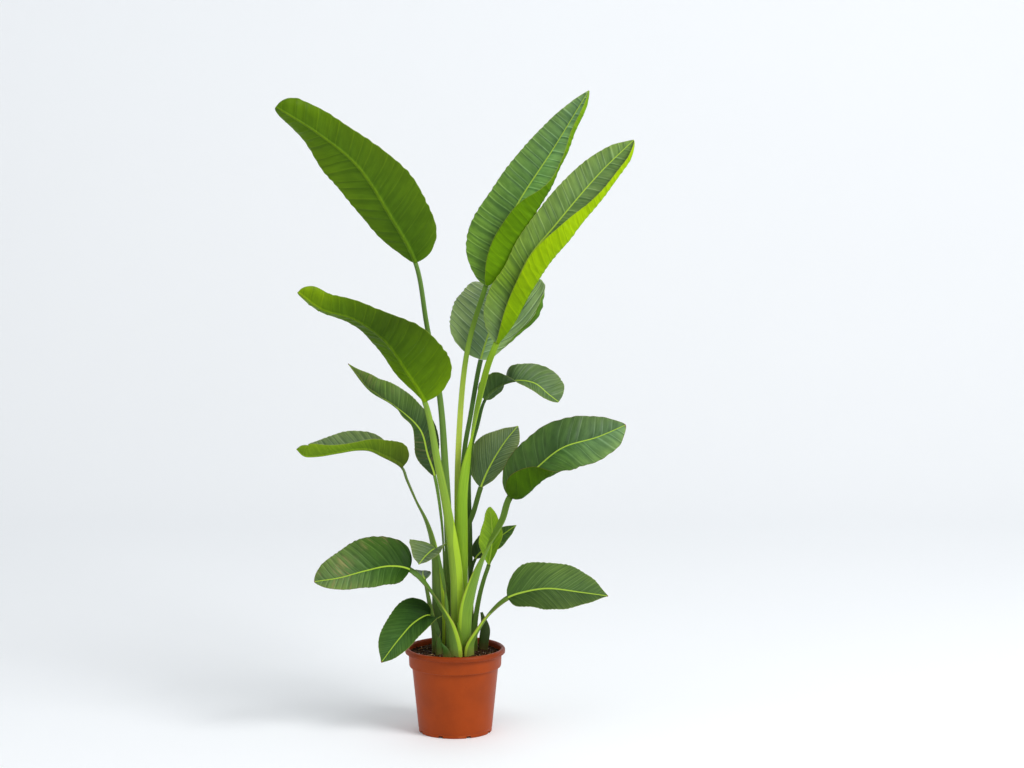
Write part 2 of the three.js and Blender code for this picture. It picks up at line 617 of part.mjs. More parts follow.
// Outside of the pot, from the middle of its underside up to the top of the rim.
function potOutside() {
  return [
    [0, 0],
    [FOOT - FOOT_ROUNDING, 0],
    [FOOT, FOOT_ROUNDING],
    [FOOT, FOOT_BAND],
    [FOOT + FOOT_BAND_STEP, FOOT_BAND + FOOT_BAND_STEP],
    [BODY_TOP, STEP_HEIGHT - 1],
    [COLLAR - 1, STEP_HEIGHT],
    [COLLAR, STEP_HEIGHT + 2],
    [COLLAR + COLLAR_TAPER, RIM_UNDERSIDE],
    [RIM - RIM_ROUNDING, RIM_UNDERSIDE],
    [RIM, RIM_UNDERSIDE + RIM_ROUNDING],
    [RIM, POT_HEIGHT - RIM_SLOPE - 1],
    [RIM - RIM_ROUNDING, POT_HEIGHT - 1],
    [RIM - RIM_ROUNDING - RIM_SLOPE, POT_HEIGHT],
  ];
}

// Inside of the wall from the rim down to the floor, moved inwards by gap.
function potInside(gap) {
  const inside = POT_WALL + gap;
  return [
    [COLLAR + COLLAR_TAPER - inside, RIM_UNDERSIDE],
    [COLLAR - inside, STEP_HEIGHT + 1 + gap],
    [BODY_TOP - inside, STEP_HEIGHT - 2 + gap],
    [FOOT - inside, POT_FLOOR + gap],
    [0, POT_FLOOR + gap],
  ];
}

function potGeometry() {
  const rim = [[RIM_INSIDE + 2, POT_HEIGHT - 0.5], [RIM_INSIDE, POT_HEIGHT - RIM_SLOPE]];
  let pot = solidFrom(lathe([...potOutside(), ...rim, ...potInside(0)]));
  for (let i = 0; i < DRAIN_SLOTS; i++) {
    const slot = new THREE.BoxGeometry(2 * DRAIN_REACH, DRAIN_WIDTH, 2 * DRAIN_HEIGHT)
      .translate(FOOT, 0, 0)
      .rotateZ((2 * Math.PI * (i + 0.5)) / DRAIN_SLOTS);
    pot = pot.subtract(solidFrom(slot));
  }
  return geometryFrom(pot);
}

// Height of the soil at a point of its surface: a low mound with crumbs.
function soilHeight(x, y) {
  const out = Math.hypot(x, y) / COLLAR;
  const furrow = Math.sin(0.31 * x + 1.7 * Math.sin(0.11 * y));
  const ridge = Math.cos(0.27 * y - 1.3 * Math.sin(0.13 * x));
  return SOIL_EDGE_TOP + SOIL_MOUND * (1 - out ** 2) + SOIL_CRUMB * furrow * ridge * (1 - out ** 8);
}

// The soil and the roots in it fill the pot, with a hole for each stalk and sheath.
function soilGeometry(stalkHoles) {
  const wall = potInside(CLEARANCE);
  const edge = [wall[0][0], SOIL_EDGE_TOP];
  const rings = Array.from({ length: SOIL_RINGS }, (_, i) => [(edge[0] * i) / SOIL_RINGS, POT_HEIGHT]);
  const geometry = lathe([...wall.slice(1).toReversed(), edge, ...rings.toReversed()]);
  const position = geometry.getAttribute("position");
  for (let i = 0; i < position.count; i++) {
    if (position.getZ(i) > SOIL_EDGE_TOP + 1) {
      const height = soilHeight(position.getX(i), position.getY(i));
      position.setZ(i, height);
    }
  }
  let soil = solidFrom(geometry);
  for (const hole of stalkHoles) soil = soil.subtract(solidFrom(hole));
  return geometryFrom(soil);
}

// ---------------------------------------------------------------- assembly
const plant = new THREE.Group();

function addPiece(name, geometry, look) {
  const mesh = new THREE.Mesh(geometry, new THREE.MeshStandardMaterial({ ...look, metalness: 0 }));
  mesh.name = name;
  plant.add(mesh);
}

const holes = [];
for (const leaf of LEAVES) {
  const line = leafLine(leaf);
  addPiece(`${leaf.name}_stalk`, stalkGeometry(leaf, line, 0), STALK_LOOK);
  addPiece(`${leaf.name}_blade`, bladeGeometry(leaf, line), BLADE_LOOK);
  holes.push(stalkGeometry(leaf, line, CLEARANCE));
}
for (const sheath of SHEATHS) {
  const line = sheathLine(sheath);
  addPiece(sheath.name, stalkGeometry(sheath, line, 0), sheath.finish);
  holes.push(stalkGeometry(sheath, line, CLEARANCE));
}
addPiece("pot", potGeometry(), POT_LOOK);
addPiece("soil", soilGeometry(holes), SOIL_LOOK);

export default plant;
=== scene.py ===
"""Bird of paradise plant (Strelitzia) in a round nursery pot: its finished surfaces and materials.

Metres in Blender. The records below are in millimetres, +Z up, +X to the right, +Y to the back,
with the origin at the centre of the pot's flat underside. Every leaf follows one smooth line: its
stalk first, then the midrib of its blade. The surfaces are worked out on grids of two parameters.
"""

import bpy
import numpy as np
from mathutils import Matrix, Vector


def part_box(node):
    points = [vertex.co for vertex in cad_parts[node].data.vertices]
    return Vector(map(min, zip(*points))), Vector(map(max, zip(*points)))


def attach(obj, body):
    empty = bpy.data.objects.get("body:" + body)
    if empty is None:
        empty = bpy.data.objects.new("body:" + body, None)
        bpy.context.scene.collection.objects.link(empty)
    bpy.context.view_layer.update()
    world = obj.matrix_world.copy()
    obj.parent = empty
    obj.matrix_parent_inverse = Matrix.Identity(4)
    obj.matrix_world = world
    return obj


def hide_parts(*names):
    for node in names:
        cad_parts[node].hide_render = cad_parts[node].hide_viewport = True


bl_info = {
    "name": "Potted Bird of Paradise",
    "version": (1, 0, 0),
    "blender": (4, 5, 0),
    "location": "View3D > Sidebar > Plant",
    "description": "Leaves, stalks, soil and pot of a tall house plant",
    "category": "Add Mesh",
}

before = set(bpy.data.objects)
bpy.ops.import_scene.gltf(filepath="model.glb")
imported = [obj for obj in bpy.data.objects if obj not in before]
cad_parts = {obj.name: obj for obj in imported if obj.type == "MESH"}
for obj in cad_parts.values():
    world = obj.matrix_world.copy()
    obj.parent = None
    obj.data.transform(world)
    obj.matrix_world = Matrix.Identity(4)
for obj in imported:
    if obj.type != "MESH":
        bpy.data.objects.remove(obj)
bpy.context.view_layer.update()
BODY = "root"
MM = 0.001


# ---------------------------------------------------------------- leaves
def half(reach, rise, curl=(0, 0, 0), bend=(0, 1), lobe=0):
    """One half of a blade, plain where nothing else is given."""
    return dict(reach=reach, rise=rise, curl=curl, bend=bend, lobe=lobe)


# route: way points of the stalk above its foot; midrib: those of the blade up to its tip
# width, depth: of the stalk, at equal steps; look: which way its channel looks
# face: which way the upper face of the blade looks, at equal steps from base to tip
# left, right: the halves of the blade, seen from above with the tip ahead
#   reach: distance from midrib to margin; rise: angle towards the upper face, in degrees
#   curl: further turn in degrees, made between the two shares of the reach that bend gives
# wave: height and number of the waves of the margin; lobe: reach of a half behind the base
# tip: share of the length that rounds the tip; blunt: how full the rounding is, less being fuller
# veins: distance between the side veins; upper, under, stem: colours of the two faces and of the
#   stalk, as 0 to 255, at equal steps from base to tip or from foot to blade
# wing: side of the stalk that is bright yellow-green, -1 or 1, how much of it, and the two heights
#   in metres between which it narrows to nothing
# burnt: length of the dry tip; worn: share of tan streaks between the veins; ribbed: how clearly the
#   side veins show on the upper face, as pale lines with painted shade beside them; gloss: how strongly
#   that face mirrors; edge: colour of the margin
# balance: painted light and shade, how much lighter the right half of the upper face is painted than the
#   left, for how the light falls on the two halves; lean: how far the side veins lean to the tip, as a share
#   of their reach
LEAVES = [
    dict(
        name="top_left",
        route=[[-12, 24, 165], [-12, 23, 296], [-14, 18, 416], [-18, 12, 501],
               [-27, 0, 636], [-51, -20, 780], [-71, -40, 898]],
        midrib=[[-115, -62, 985], [-175, -92, 1081], [-244, -118, 1141], [-319, -138, 1190]],
        width=[15, 15, 15, 12, 10, 9], depth=[11, 10, 10, 9, 8, 7],
        look=[[0, 1, 0], [0, 1, 0], [0.3, 0.9, 0.3]],
        face=[[0.3, 0.9, 0.3], [0.1, 0.95, 0.3], [0.2, 0.9, 0.4]],
        left=half(reach=[56, 74, 74, 52, 42, 34], rise=[5, 0, 0, 20], curl=[10, 0, 0, 60], bend=[0.3, 1]),
        right=half(reach=[24, 47, 57, 58, 38, 30], rise=[5, 5, 5, 20], curl=[10, 5, 5, 60], bend=[0.3, 1]),
        wave=[1.5, 4], tip=0.08, blunt=0.5, veins=24,
        upper=[(60, 96, 40)], under=[(72, 106, 12), (80, 112, 12), (78, 110, 4)],
        stem=[(104, 134, 50), (98, 132, 54), (95, 129, 53)],
    ),
    dict(
        name="top_centre",
        route=[[6, 30, 165], [5, 26, 346], [6, 20, 519], [17, 22, 680], [30, 27, 754], [59, 34, 848]],
        midrib=[[84, 44, 921], [116, 55, 995], [187, 80, 1104], [253, 100, 1211]],
        width=[14, 13, 12, 11, 10, 9], depth=[11, 10, 10, 9, 8, 7],
        look=[[0, -1, 0], [0, -1, 0]],
        face=[[-0.2, -0.95, 0.2], [-0.2, -0.95, 0.2]],
        left=half(reach=[40, 66, 57, 51, 35, 8], rise=[5, 5, 5]),
        right=half(reach=[54, 76, 92, 98, 94, 72, 58, 48, 38, 28, 16], rise=[20, 20, 28, 32, 30, 20],
                   curl=[150, 155, 140, 100, 120, 130],
                   bend=[[0.34, 0.33, 0.34, 0.4, 0.48, 0.64, 0.72, 0.68, 0.6, 0.55, 0.5],
                         [0.6, 0.59, 0.6, 0.66, 0.74, 0.9, 1, 0.97, 0.9, 0.85, 0.8]]),
        wave=[2, 5], tip=0.08, veins=17, ribbed=0.9, lean=0, painted_light_balance=1.9,
        upper=[(126, 172, 60), (104, 146, 66), (118, 154, 94)],
        # Painted light: these under colours are brightened where the curled flap shows, for light shining
        # through the thin blade.
        under=[(100, 144, 4), (76, 116, 0), (104, 144, 10)],
        stem=[(104, 134, 36), (112, 142, 38), (140, 168, 50), (186, 206, 84), (122, 154, 48), (106, 146, 46)],
    ),
    dict(
        name="top_right",
        route=[[17, 5, 165], [14, 4, 316], [13, 4, 400], [14, 4, 454], [21, 4, 510], [42, 2, 620],
               [63, 0, 702], [79, -4, 744]],
        midrib=[[134, 0, 894], [191, 5, 967], [272, 15, 1061], [335, 22, 1122]],
        width=[16, 18, 23, 19, 16, 12], depth=[11, 11, 11, 10, 9, 8],
        look=[[0, 1, 0], [0, 1, 0], [0, 1, 0], [-0.6, -0.2, 0.3], [-0.3, -0.95, 0.2]],
        face=[[-0.2, -0.95, 0.2], [-0.2, -0.95, 0.2]],
        left=half(reach=[34, 42, 44, 33, 37, 41, 43, 41, 36, 25, 10], rise=[10, 10, 10]),
        right=half(reach=[32, 50, 66, 78, 86, 80, 70, 57, 50, 40, 30], rise=[5, 10, 10, 5],
                   curl=[160, 165, 160, 150, 140, 120],
                   bend=[[0.36, 0.36, 0.38, 0.41, 0.41, 0.44, 0.5, 0.6, 0.64, 0.6, 0.5],
                         [0.6, 0.6, 0.62, 0.65, 0.65, 0.68, 0.74, 0.84, 0.88, 0.84, 0.8]]),
        wave=[2, 5], tip=0.08, veins=17, ribbed=0.7,
        upper=[(112, 138, 84), (104, 138, 30), (106, 136, 60), (106, 134, 70), (104, 134, 64)],
        # Painted light: these under colours are brightened where the curled flap shows, for light shining
        # through the thin blade.
        under=[(104, 142, 0), (138, 174, 0), (140, 176, 0)],
        stem=[(116, 156, 26), (132, 170, 34), (130, 170, 34), (136, 174, 36), (132, 170, 36)],
    ),
    dict(
        name="mid_left",
        route=[[4, -9, 165], [4, -9, 246], [2, -12, 313], [-13, -16, 423], [-31, -22, 518], [-55, -34, 637]],
        midrib=[[-89, -60, 700], [-126, -92, 758], [-181, -130, 803], [-237, -160, 824], [-279, -180, 858]],
        width=[20, 25, 24, 17, 14, 11], depth=[12, 12, 12, 11, 9, 8],
        look=[[0, 1, 0], [0, 1, 0], [0.3, 0.9, 0.3]],
        face=[[0.2, 0.9, 0.4], [0.2, 0.9, 0.4]],
        left=half(reach=[62, 90, 80, 48, 36, 28], rise=[0, 0, 0, 20], curl=[10, 0, 0, 50], bend=[0.3, 1]),
        right=half(reach=[14, 36, 40, 26, 18, 18], rise=[20, 30, 30, 30], curl=[10, 0, 0, 40], bend=[0.3, 1]),
        wave=[0.8, 4], tip=0.08, blunt=0.5, veins=23,
        upper=[(66, 104, 40)], under=[(98, 134, 4), (80, 114, 2), (62, 90, 4), (78, 110, 2), (110, 140, 2)],
        stem=[(130, 162, 46), (130, 162, 50), (126, 160, 58)], wing=(1, 0.9, 0.35, 0.43),
    ),
    dict(
        name="left_folded",
        route=[[-19, 10, 165], [-20, 13, 327], [-25, 12, 405], [-38, 12, 489]],
        midrib=[[-51, 12, 529], [-65, 6, 578], [-116, -4, 627], [-158, -14, 655], [-198, -22, 707]],
        width=[10, 9, 8, 8], depth=[8, 7, 6, 6],
        look=[[0, 1, 0], [0.6, -0.5, 0.3]],
        face=[[0.4, -0.85, 0.3], [0.3, -0.75, 0.55]],
        left=half(reach=[14, 26, 13, 10, 8, 4], rise=[10, 10, 70, 80]),
        right=half(reach=[10, 26, 32, 36, 28, 6], rise=[20, 15, 10]),
        wave=[2, 6], veins=9,
        upper=[(42, 64, 30), (54, 80, 36), (84, 114, 42), (92, 120, 40)], under=[(80, 112, 34)],
        stem=[(92, 128, 46)], burnt=4, worn=0.25,
    ),
    dict(
        name="left_arched",
        route=[[-31, -3, 165], [-32, -3, 276], [-39, -2, 354], [-52, -5, 404], [-71, -9, 445],
               [-89, -13, 487], [-98, -15, 510]],
        midrib=[[-138, -24, 535], [-158, -30, 545], [-182, -36, 547], [-217, -42, 542], [-256, -46, 536],
                [-280, -48, 537], [-294, -48, 550]],
        width=[22, 26, 24, 16, 13, 10], depth=[12, 12, 11, 10, 8, 7],
        look=[[0, 1, 0], [0.3, 0.6, 0.4], [0.5, -0.2, 0.8]],
        face=[[0.3, -0.1, 0.9], [0, -0.1, 1]],
        left=half(reach=[44, 36, 20, 18, 28, 24], rise=[75, 70, 60, 60, 70], curl=[20, 20, 20]),
        right=half(reach=[20, 34, 40, 40, 32, 24], rise=[30, 40, 45, 45, 40]),
        wave=[1, 4], tip=0.07, blunt=0.45, veins=12,
        upper=[(72, 90, 40), (96, 118, 70), (108, 130, 92)],
        under=[(66, 84, 16), (100, 132, 22), (108, 140, 22)],
        stem=[(34, 48, 18), (58, 82, 30), (98, 130, 46), (92, 122, 42), (78, 104, 36)],
        wing=(1, 0.4, 0.27, 0.4),
    ),
    dict(
        name="low_left",
        route=[[2, -45, 160], [1, -43, 173], [-7, -40, 213], [-26, -44, 251], [-44, -50, 282],
               [-83, -60, 323]],
        midrib=[[-120, -72, 332], [-166, -88, 326], [-212, -102, 316], [-259, -114, 311]],
        width=[24, 26, 20, 14, 12, 11], depth=[10, 10, 10, 9, 9, 8],
        look=[[0, 1, 0], [0.4, 0.5, 0.6], [0.1, -0.75, 0.65]],
        face=[[-0.1, -0.75, 0.65], [-0.1, -0.75, 0.65]],
        left=half(reach=[26, 44, 45, 38, 27, 14], rise=[10, 10, 10]),
        right=half(reach=[46, 60, 68, 58, 44, 24], rise=[10, 5, 5]),
        wave=[0.8, 4], tip=0.13, blunt=0.6, veins=14, edge=(120, 104, 56), painted_light_balance=0.85, gloss=0.06,
        upper=[(26, 56, 6), (66, 98, 38), (94, 120, 66), (96, 120, 64)], under=[(70, 108, 40)],
        stem=[(120, 154, 62), (92, 126, 42), (78, 112, 36)], wing=(1, 0.5, 0.2, 0.27), burnt=2, worn=0.45,
    ),
    dict(
        name="left_small",
        route=[[-13, -18, 198], [-18, -16, 266], [-28, -15, 326], [-36, -18, 353]],
        midrib=[[-52, -40, 347], [-66, -72, 336]],
        width=[9, 8, 7, 6], depth=[7, 6, 5, 5],
        look=[[0, 1, 0], [-0.2, -0.5, 0.7]],
        face=[[0, -0.5, 0.85], [0, -0.5, 0.85]],
        left=half(reach=[36, 38, 35, 27, 15, 4], rise=[50, 40, 20, 10], lobe=14),
        right=half(reach=[8, 28, 44, 30, 18, 5], rise=[30, 25, 20, 10]),
        wave=[0.8, 2], veins=8,
        upper=[(90, 112, 62), (100, 118, 76)], under=[(86, 118, 54)], stem=[(92, 126, 46)],
    ),
    dict(
        name="left_tiny",
        route=[[-37, -14, 165], [-39, -13, 198], [-47, -12, 243], [-57, -10, 294]],
        midrib=[[-61, 6, 300], [-61, 28, 304]],
        width=[14, 13, 10, 7], depth=[8, 7, 6, 6],
        look=[[0, 1, 0], [0.3, 0.5, 0.3]],
        face=[[0, -0.4, 0.9], [0, -0.2, 1]],
        left=half(reach=[14, 24, 22, 18, 12, 4], rise=[20, 20]),
        right=half(reach=[10, 15, 16, 13, 9, 4], rise=[20, 20]),
        wave=[1, 2], veins=8,
        upper=[(84, 106, 72)], under=[(70, 100, 48)], stem=[(84, 112, 40)],
    ),
    dict(
        name="lowest_left",
        route=[[-30, -31, 160], [-32, -31, 198], [-46, -32, 229]],
        midrib=[[-74, -50, 221], [-102, -66, 194], [-137, -80, 150]],
        width=[15, 14, 10, 8], depth=[9, 8, 7, 6],
        look=[[0, 1, 0], [-0.2, -0.6, 0.7]],
        face=[[-0.2, -0.75, 0.6], [-0.2, -0.75, 0.6]],
        left=half(reach=[40, 40, 37, 31, 22, 6], rise=[44, 22, 10, 5], lobe=27),
        right=half(reach=[38, 48, 44, 40, 29, 6], rise=[20, 10, 5]),
        wave=[1, 3], tip=0.12, blunt=0.6, veins=9, ribbed=0.22, lean=0.8, gloss=0.06,
        upper=[(18, 44, 4), (50, 82, 30), (70, 104, 46), (74, 104, 50)], under=[(80, 120, 48)],
        stem=[(70, 100, 36)], burnt=3,
    ),
    dict(
        name="right_large",
        route=[[18, -25, 165], [21, -25, 239], [38, -28, 303], [63, -32, 365], [89, -35, 413],
               [104, -37, 457]],
        midrib=[[159, -36, 516], [203, -34, 550], [269, -30, 570], [321, -26, 592]],
        width=[22, 26, 27, 20, 17, 14], depth=[12, 12, 12, 11, 10, 9],
        look=[[0, 1, 0], [-0.4, 0.5, 0.3], [-0.4, -0.75, 0.5]],
        face=[[-0.3, -0.8, 0.5], [-0.2, -0.8, 0.55]],
        left=half(reach=[34, 54, 58, 55, 44, 16], rise=[10, 5, 5]),
        right=half(reach=[84, 90, 86, 72, 60, 60, 58, 53, 46, 36, 22], rise=[20, 20, 15, 5, 5],
                   curl=[140, 140, 140, 125, 60, 10, 5, 5, 5, 5, 5],
                   bend=[[0.36, 0.33, 0.36, 0.46, 0.7, 0.8, 0.8, 0.8, 0.8, 0.8, 0.8],
                         [0.62, 0.59, 0.62, 0.72, 0.98, 1, 1, 1, 1, 1, 1]]),
        wave=[1.5, 5], tip=0.12, blunt=0.6, veins=23, edge=(124, 92, 50), painted_light_balance=1.45,
        upper=[(58, 90, 28), (68, 100, 42), (108, 138, 88)], under=[(54, 86, 0)],
        stem=[(126, 162, 50), (106, 142, 42), (90, 124, 36)], wing=(-1, 0.42, 0.2, 0.36), burnt=3,
    ),
    dict(
        name="right_dark",
        route=[[18, 21, 165], [19, 17, 346], [23, 17, 387], [34, 18, 415], [49, 20, 466]],
        midrib=[[66, 23, 505], [94, 20, 552], [119, 14, 584]],
        width=[11, 11, 10, 10], depth=[8, 8, 7, 7],
        look=[[0, -1, 0], [-0.3, -0.9, 0.3]],
        face=[[-0.3, -0.9, 0.3], [-0.3, -0.9, 0.3]],
        left=half(reach=[18, 39, 51, 43, 22, 6], rise=[0, 0, 5]),
        right=half(reach=[8, 23, 32, 32, 30, 18], rise=[10, 20, 10]),
        wave=[1, 4], veins=6.6, ribbed=1, lean=1.1,
        upper=[(74, 98, 50), (106, 126, 78)], under=[(60, 92, 40)], stem=[(84, 114, 34), (74, 104, 34)],
    ),
    dict(
        name="right_low",
        route=[[27, -42, 160], [29, -40, 176], [48, -42, 214], [65, -48, 238], [100, -58, 269]],
        midrib=[[132, -62, 281], [175, -70, 289], [239, -82, 284], [287, -90, 279]],
        width=[18, 20, 16, 13, 12], depth=[10, 10, 10, 9, 8],
        look=[[0, 1, 0], [-0.4, 0.3, 0.8], [0, -0.6, 0.8]],
        face=[[0, -0.8, 0.6], [0, -0.8, 0.6]],
        left=half(reach=[24, 52, 50, 48, 33, 10], rise=[15, 10, 5]),
        right=half(reach=[24, 34, 47, 44, 25, 6], rise=[10, 10, 10], lobe=8),
        wave=[1, 4], veins=10.5, ribbed=0.6, lean=0.9, painted_light_balance=0.7,
        upper=[(52, 80, 22), (76, 102, 46), (76, 102, 48)], under=[(88, 136, 40)],
        stem=[(112, 146, 50), (92, 122, 42)], wing=(-1, 0.4, 0.2, 0.26), burnt=3,
    ),
    dict(
        name="young",
        route=[[37, -8, 165], [38, -4, 209], [47, 0, 263], [56, 2, 296], [64, 3, 320]],
        midrib=[[70, 4, 360], [70, 6, 396], [66, 10, 430]],
        width=[11, 11, 9, 8], depth=[8, 8, 7, 6],
        look=[[0, -1, 0], [-0.3, -0.9, 0.1]],
        face=[[-0.2, -0.95, 0.1], [-0.2, -0.95, 0.1]],
        left=half(reach=[8, 20, 28, 23, 15, 9], rise=[40, 30, 30], curl=[20, 10, 10]),
        right=half(reach=[6, 14, 24, 27, 18, 9], rise=[40, 30, 30], curl=[20, 10, 10]),
        wave=[1, 3], tip=0.14, blunt=0.5, veins=9, ribbed=0.15, lean=0.9,
        upper=[(104, 142, 30), (130, 168, 36), (144, 182, 40)], under=[(110, 148, 30)], stem=[(78, 110, 34)],
    ),
    dict(
        name="right_hidden",
        route=[[36, 12, 165], [30, 18, 226], [28, 20, 286], [38, 19, 328]],
        midrib=[[57, 23, 348], [85, 28, 369], [116, 31, 391]],
        width=[10, 9, 8, 7], depth=[8, 7, 6, 6],
        look=[[0, -1, 0], [-0.5, -0.6, 0.6]],
        face=[[-0.4, -0.8, 0.5], [-0.2, -0.8, 0.5]],
        left=half(reach=[16, 26, 30, 22, 12, 4], rise=[0, 0, 5]),
        right=half(reach=[8, 16, 20, 19, 12, 4], rise=[10, 5, 5]),
        wave=[1, 3], veins=9,
        upper=[(54, 78, 38), (84, 118, 48)], under=[(52, 84, 34)], stem=[(62, 90, 34)],
    ),
    dict(
        name="right_arched",
        route=[[30, 34, 165], [28, 38, 376], [26, 31, 476], [30, 27, 538], [42, 28, 581], [57, 30, 632]],
        midrib=[[80, 28, 655], [114, 22, 669], [151, 16, 665], [177, 10, 645], [196, 6, 631]],
        width=[11, 10, 9, 9, 8], depth=[9, 8, 8, 7, 6],
        look=[[0, -1, 0], [-0.4, -0.4, 0.4]],
        face=[[-0.35, 0.75, 0.45], [-0.35, 0.75, 0.45], [-0.35, 0.75, 0.4], [-0.35, 0.6, 0.5],
              [-0.3, 0.2, 0.8], [-0.2, -0.35, 0.85], [-0.15, -0.55, 0.8], [-0.1, -0.6, 0.8],
              [0, -0.6, 0.8], [0.15, -0.65, 0.7], [0.3, -0.7, 0.6]],
        left=half(reach=[20, 17, 16, 22, 30, 34, 40, 43, 44, 40, 34],
                  rise=[5, 5, 10, 60, 80, 40, 15, 8, 5, 5, 5]),
        right=half(reach=[32, 36, 37, 36, 28, 22, 20, 19, 17, 12, 8],
                   rise=[5, 5, 5, 8, 15, 12, 10, 8, 5, 5, 5]),
        wave=[1, 4], tip=0.1, blunt=0.5, veins=11,
        upper=[(60, 84, 40), (80, 106, 58), (82, 108, 58)], under=[(62, 88, 40)],
        stem=[(80, 110, 38), (62, 98, 34)],
    ),
    dict(
        name="back_round",
        route=[[12, 45, 165], [14, 40, 346], [17, 34, 525], [30, 32, 604], [49, 38, 707]],
        midrib=[[66, 48, 761], [85, 80, 811], [104, 130, 836], [123, 185, 825], [137, 220, 796]],
        width=[11, 11, 10, 9, 9], depth=[9, 9, 8, 8, 7],
        look=[[0, -1, 0], [0, -0.9, 0.4]],
        face=[[-0.2, -0.85, 0.4], [-0.2, -0.5, 0.85], [0.2, 0, 1]],
        left=half(reach=[60, 82, 86, 76, 50, 14], rise=[5, 5, 0]),
        right=half(reach=[34, 42, 76, 128, 126, 86, 52, 38, 28, 20, 10], rise=[10, 14, 26, 30, 20, 10],
                   curl=[0, 60, 130, 130, 40, 0, 0, 0, 0, 0, 0], bend=[0.84, 1]),
        wave=[2, 4], veins=15, ribbed=0.9, painted_light_balance=1.6,
        # Painted reflection: these upper colours are brightened to stand in for the bright sky mirrored on
        # the steep, shaded face.
        upper=[(130, 162, 104), (166, 194, 136), (196, 222, 154)], under=[(78, 118, 34)],
        stem=[(80, 112, 40), (66, 100, 38)],
    ),
]

# Small sheaths at the foot of the clump, with the fields of a stalk.
SHEATHS = [
    dict(
        name="front_shoot", slot="leaf_stalk", route=[[-15, -56, 160], [-18, -57, 171], [-25, -57, 182]],
        width=[16, 18, 14, 2], depth=[5, 5, 4, 2], look=[[0, 1, 0], [0, 1, 0]], stem=[(56, 96, 22)],
    ),
    dict(
        name="inner_sheath", slot="leaf_stalk", route=[[8, -35.5, 165], [9, -34, 190], [5, -33, 216]],
        width=[13, 14, 12, 2], depth=[4, 4, 4, 1.5], look=[[0, 1, 0], [0, 1, 0]], stem=[(96, 132, 16)],
    ),
    dict(
        name="back_sheath", slot="old_sheath", route=[[54, 12, 165], [57, 13, 195], [50, 14, 226]],
        width=[15, 17, 19, 5], depth=[6, 6, 5, 2], look=[[0, 1, 0], [0, 1, 0]], stem=[(62, 84, 30)],
    ),
]

# What all leaves share, in millimetres where it is a length.
STALK_FOOT = 118  # height at which the stalks end, in the soil
BLADE_START = 0.3  # distance from the end of a stalk to its blade
BASE_ROUNDING = 0.13  # share of the length that rounds the base of a blade
TIP_ROUNDING = 0.16  # tip, blunt and lean of a leaf that doesn't give them
TIP_BLUNTNESS = 0.7
VEIN_LEAN = 0.35
VEIN_BOW = 0.0025  # further lean of a side vein, times the square of its distance from the midrib
VEIN_START_LEAN, VEIN_START = 4, 8  # lean that builds up next to the midrib, and how far out
CHANNEL_FLATNESS = 0.45  # height of the upper side of a stalk, as a share of the lower side's
RIB_WIDTH = 0.46  # half width of the midrib at its base, as a share of the stalk's width
RIB_TIP_HALF = 1.5  # half width and depth of the midrib at the tip
RIB_TIP_DEPTH = 1.4
RIB_COLUMNS = 4  # of the mesh over half the midrib
FEWEST_ROWS, MOST_ROWS = 60, 260  # of the mesh of a blade
SCALLOP_PITCH = 0.8  # of the margin, as a share of the distance between side veins
SCALLOP_DEPTH = 0.014  # as a share of the reach
STALK_SIDES = 28  # corners of a ring of a stalk

# Pot, in millimetres. Insets are from the outside of the rim.
COLLAR_HEIGHT = 36  # from the step up to the top of the rim
RIM_HEIGHT = 10
COLLAR_INSET = 7.5
BODY_INSET = 13  # of the tapered wall, at its top
FLOOR_TOP = 2.4
NOTCHES = 8  # drain openings in the corner between wall and floor
NOTCH_STEPS, BETWEEN_STEPS = 4, 18  # of the mesh across a notch, and from one to the next
NOTCH_HALF_WIDTH = 4.5
NOTCH_DEPTH = 7  # in from the outside of the foot
NOTCH_HEIGHT = 4.0

# Soil, in millimetres: it stands a few tenths clear of the inside of the pot.
SOIL_INSET = 8.9  # from the outside of the rim
SOIL_SHOULDER_INSET = 15.4
SOIL_FOOT_INSET = 2.4  # from the outside of the foot
SOIL_FLOOR = 2.7
SOIL_WALL_TOP = 149
SOIL_TURNS, SOIL_RINGS = 260, 80  # of the mesh, around and from edge to middle

# Stage, in metres.
CAMERA_PLACE = (0.108, -5.5, 1.405)
CAMERA_DOWN = 7.655  # degrees below level
CAMERA_LENS, SENSOR_WIDTH = 103.9, 36
LIGHT_TARGET = (0.0, 0.0, 0.6)


# ---------------------------------------------------------------- settings
def colour_property(name, colour, description):
    """A colour setting whose default is given as 0 to 255."""
    return bpy.props.FloatVectorProperty(
        name=name, description=description, subtype="COLOR", size=3, min=0, max=1, default=linear(colour),
    )


def length_property(name, description, default, least):
    """A length setting, with its default and its least value in metres."""
    return bpy.props.FloatProperty(
        name=name, description=description, default=default, min=least, unit="LENGTH",
    )


def linear(colour):
    """The light of a colour given as 0 to 255: the standard curve, a 2.4 power above its straight foot."""
    share = np.array(colour, float) / 255
    return tuple(np.where(share > 0.04045, ((share + 0.055) / 1.055) ** 2.4, share / 12.92))


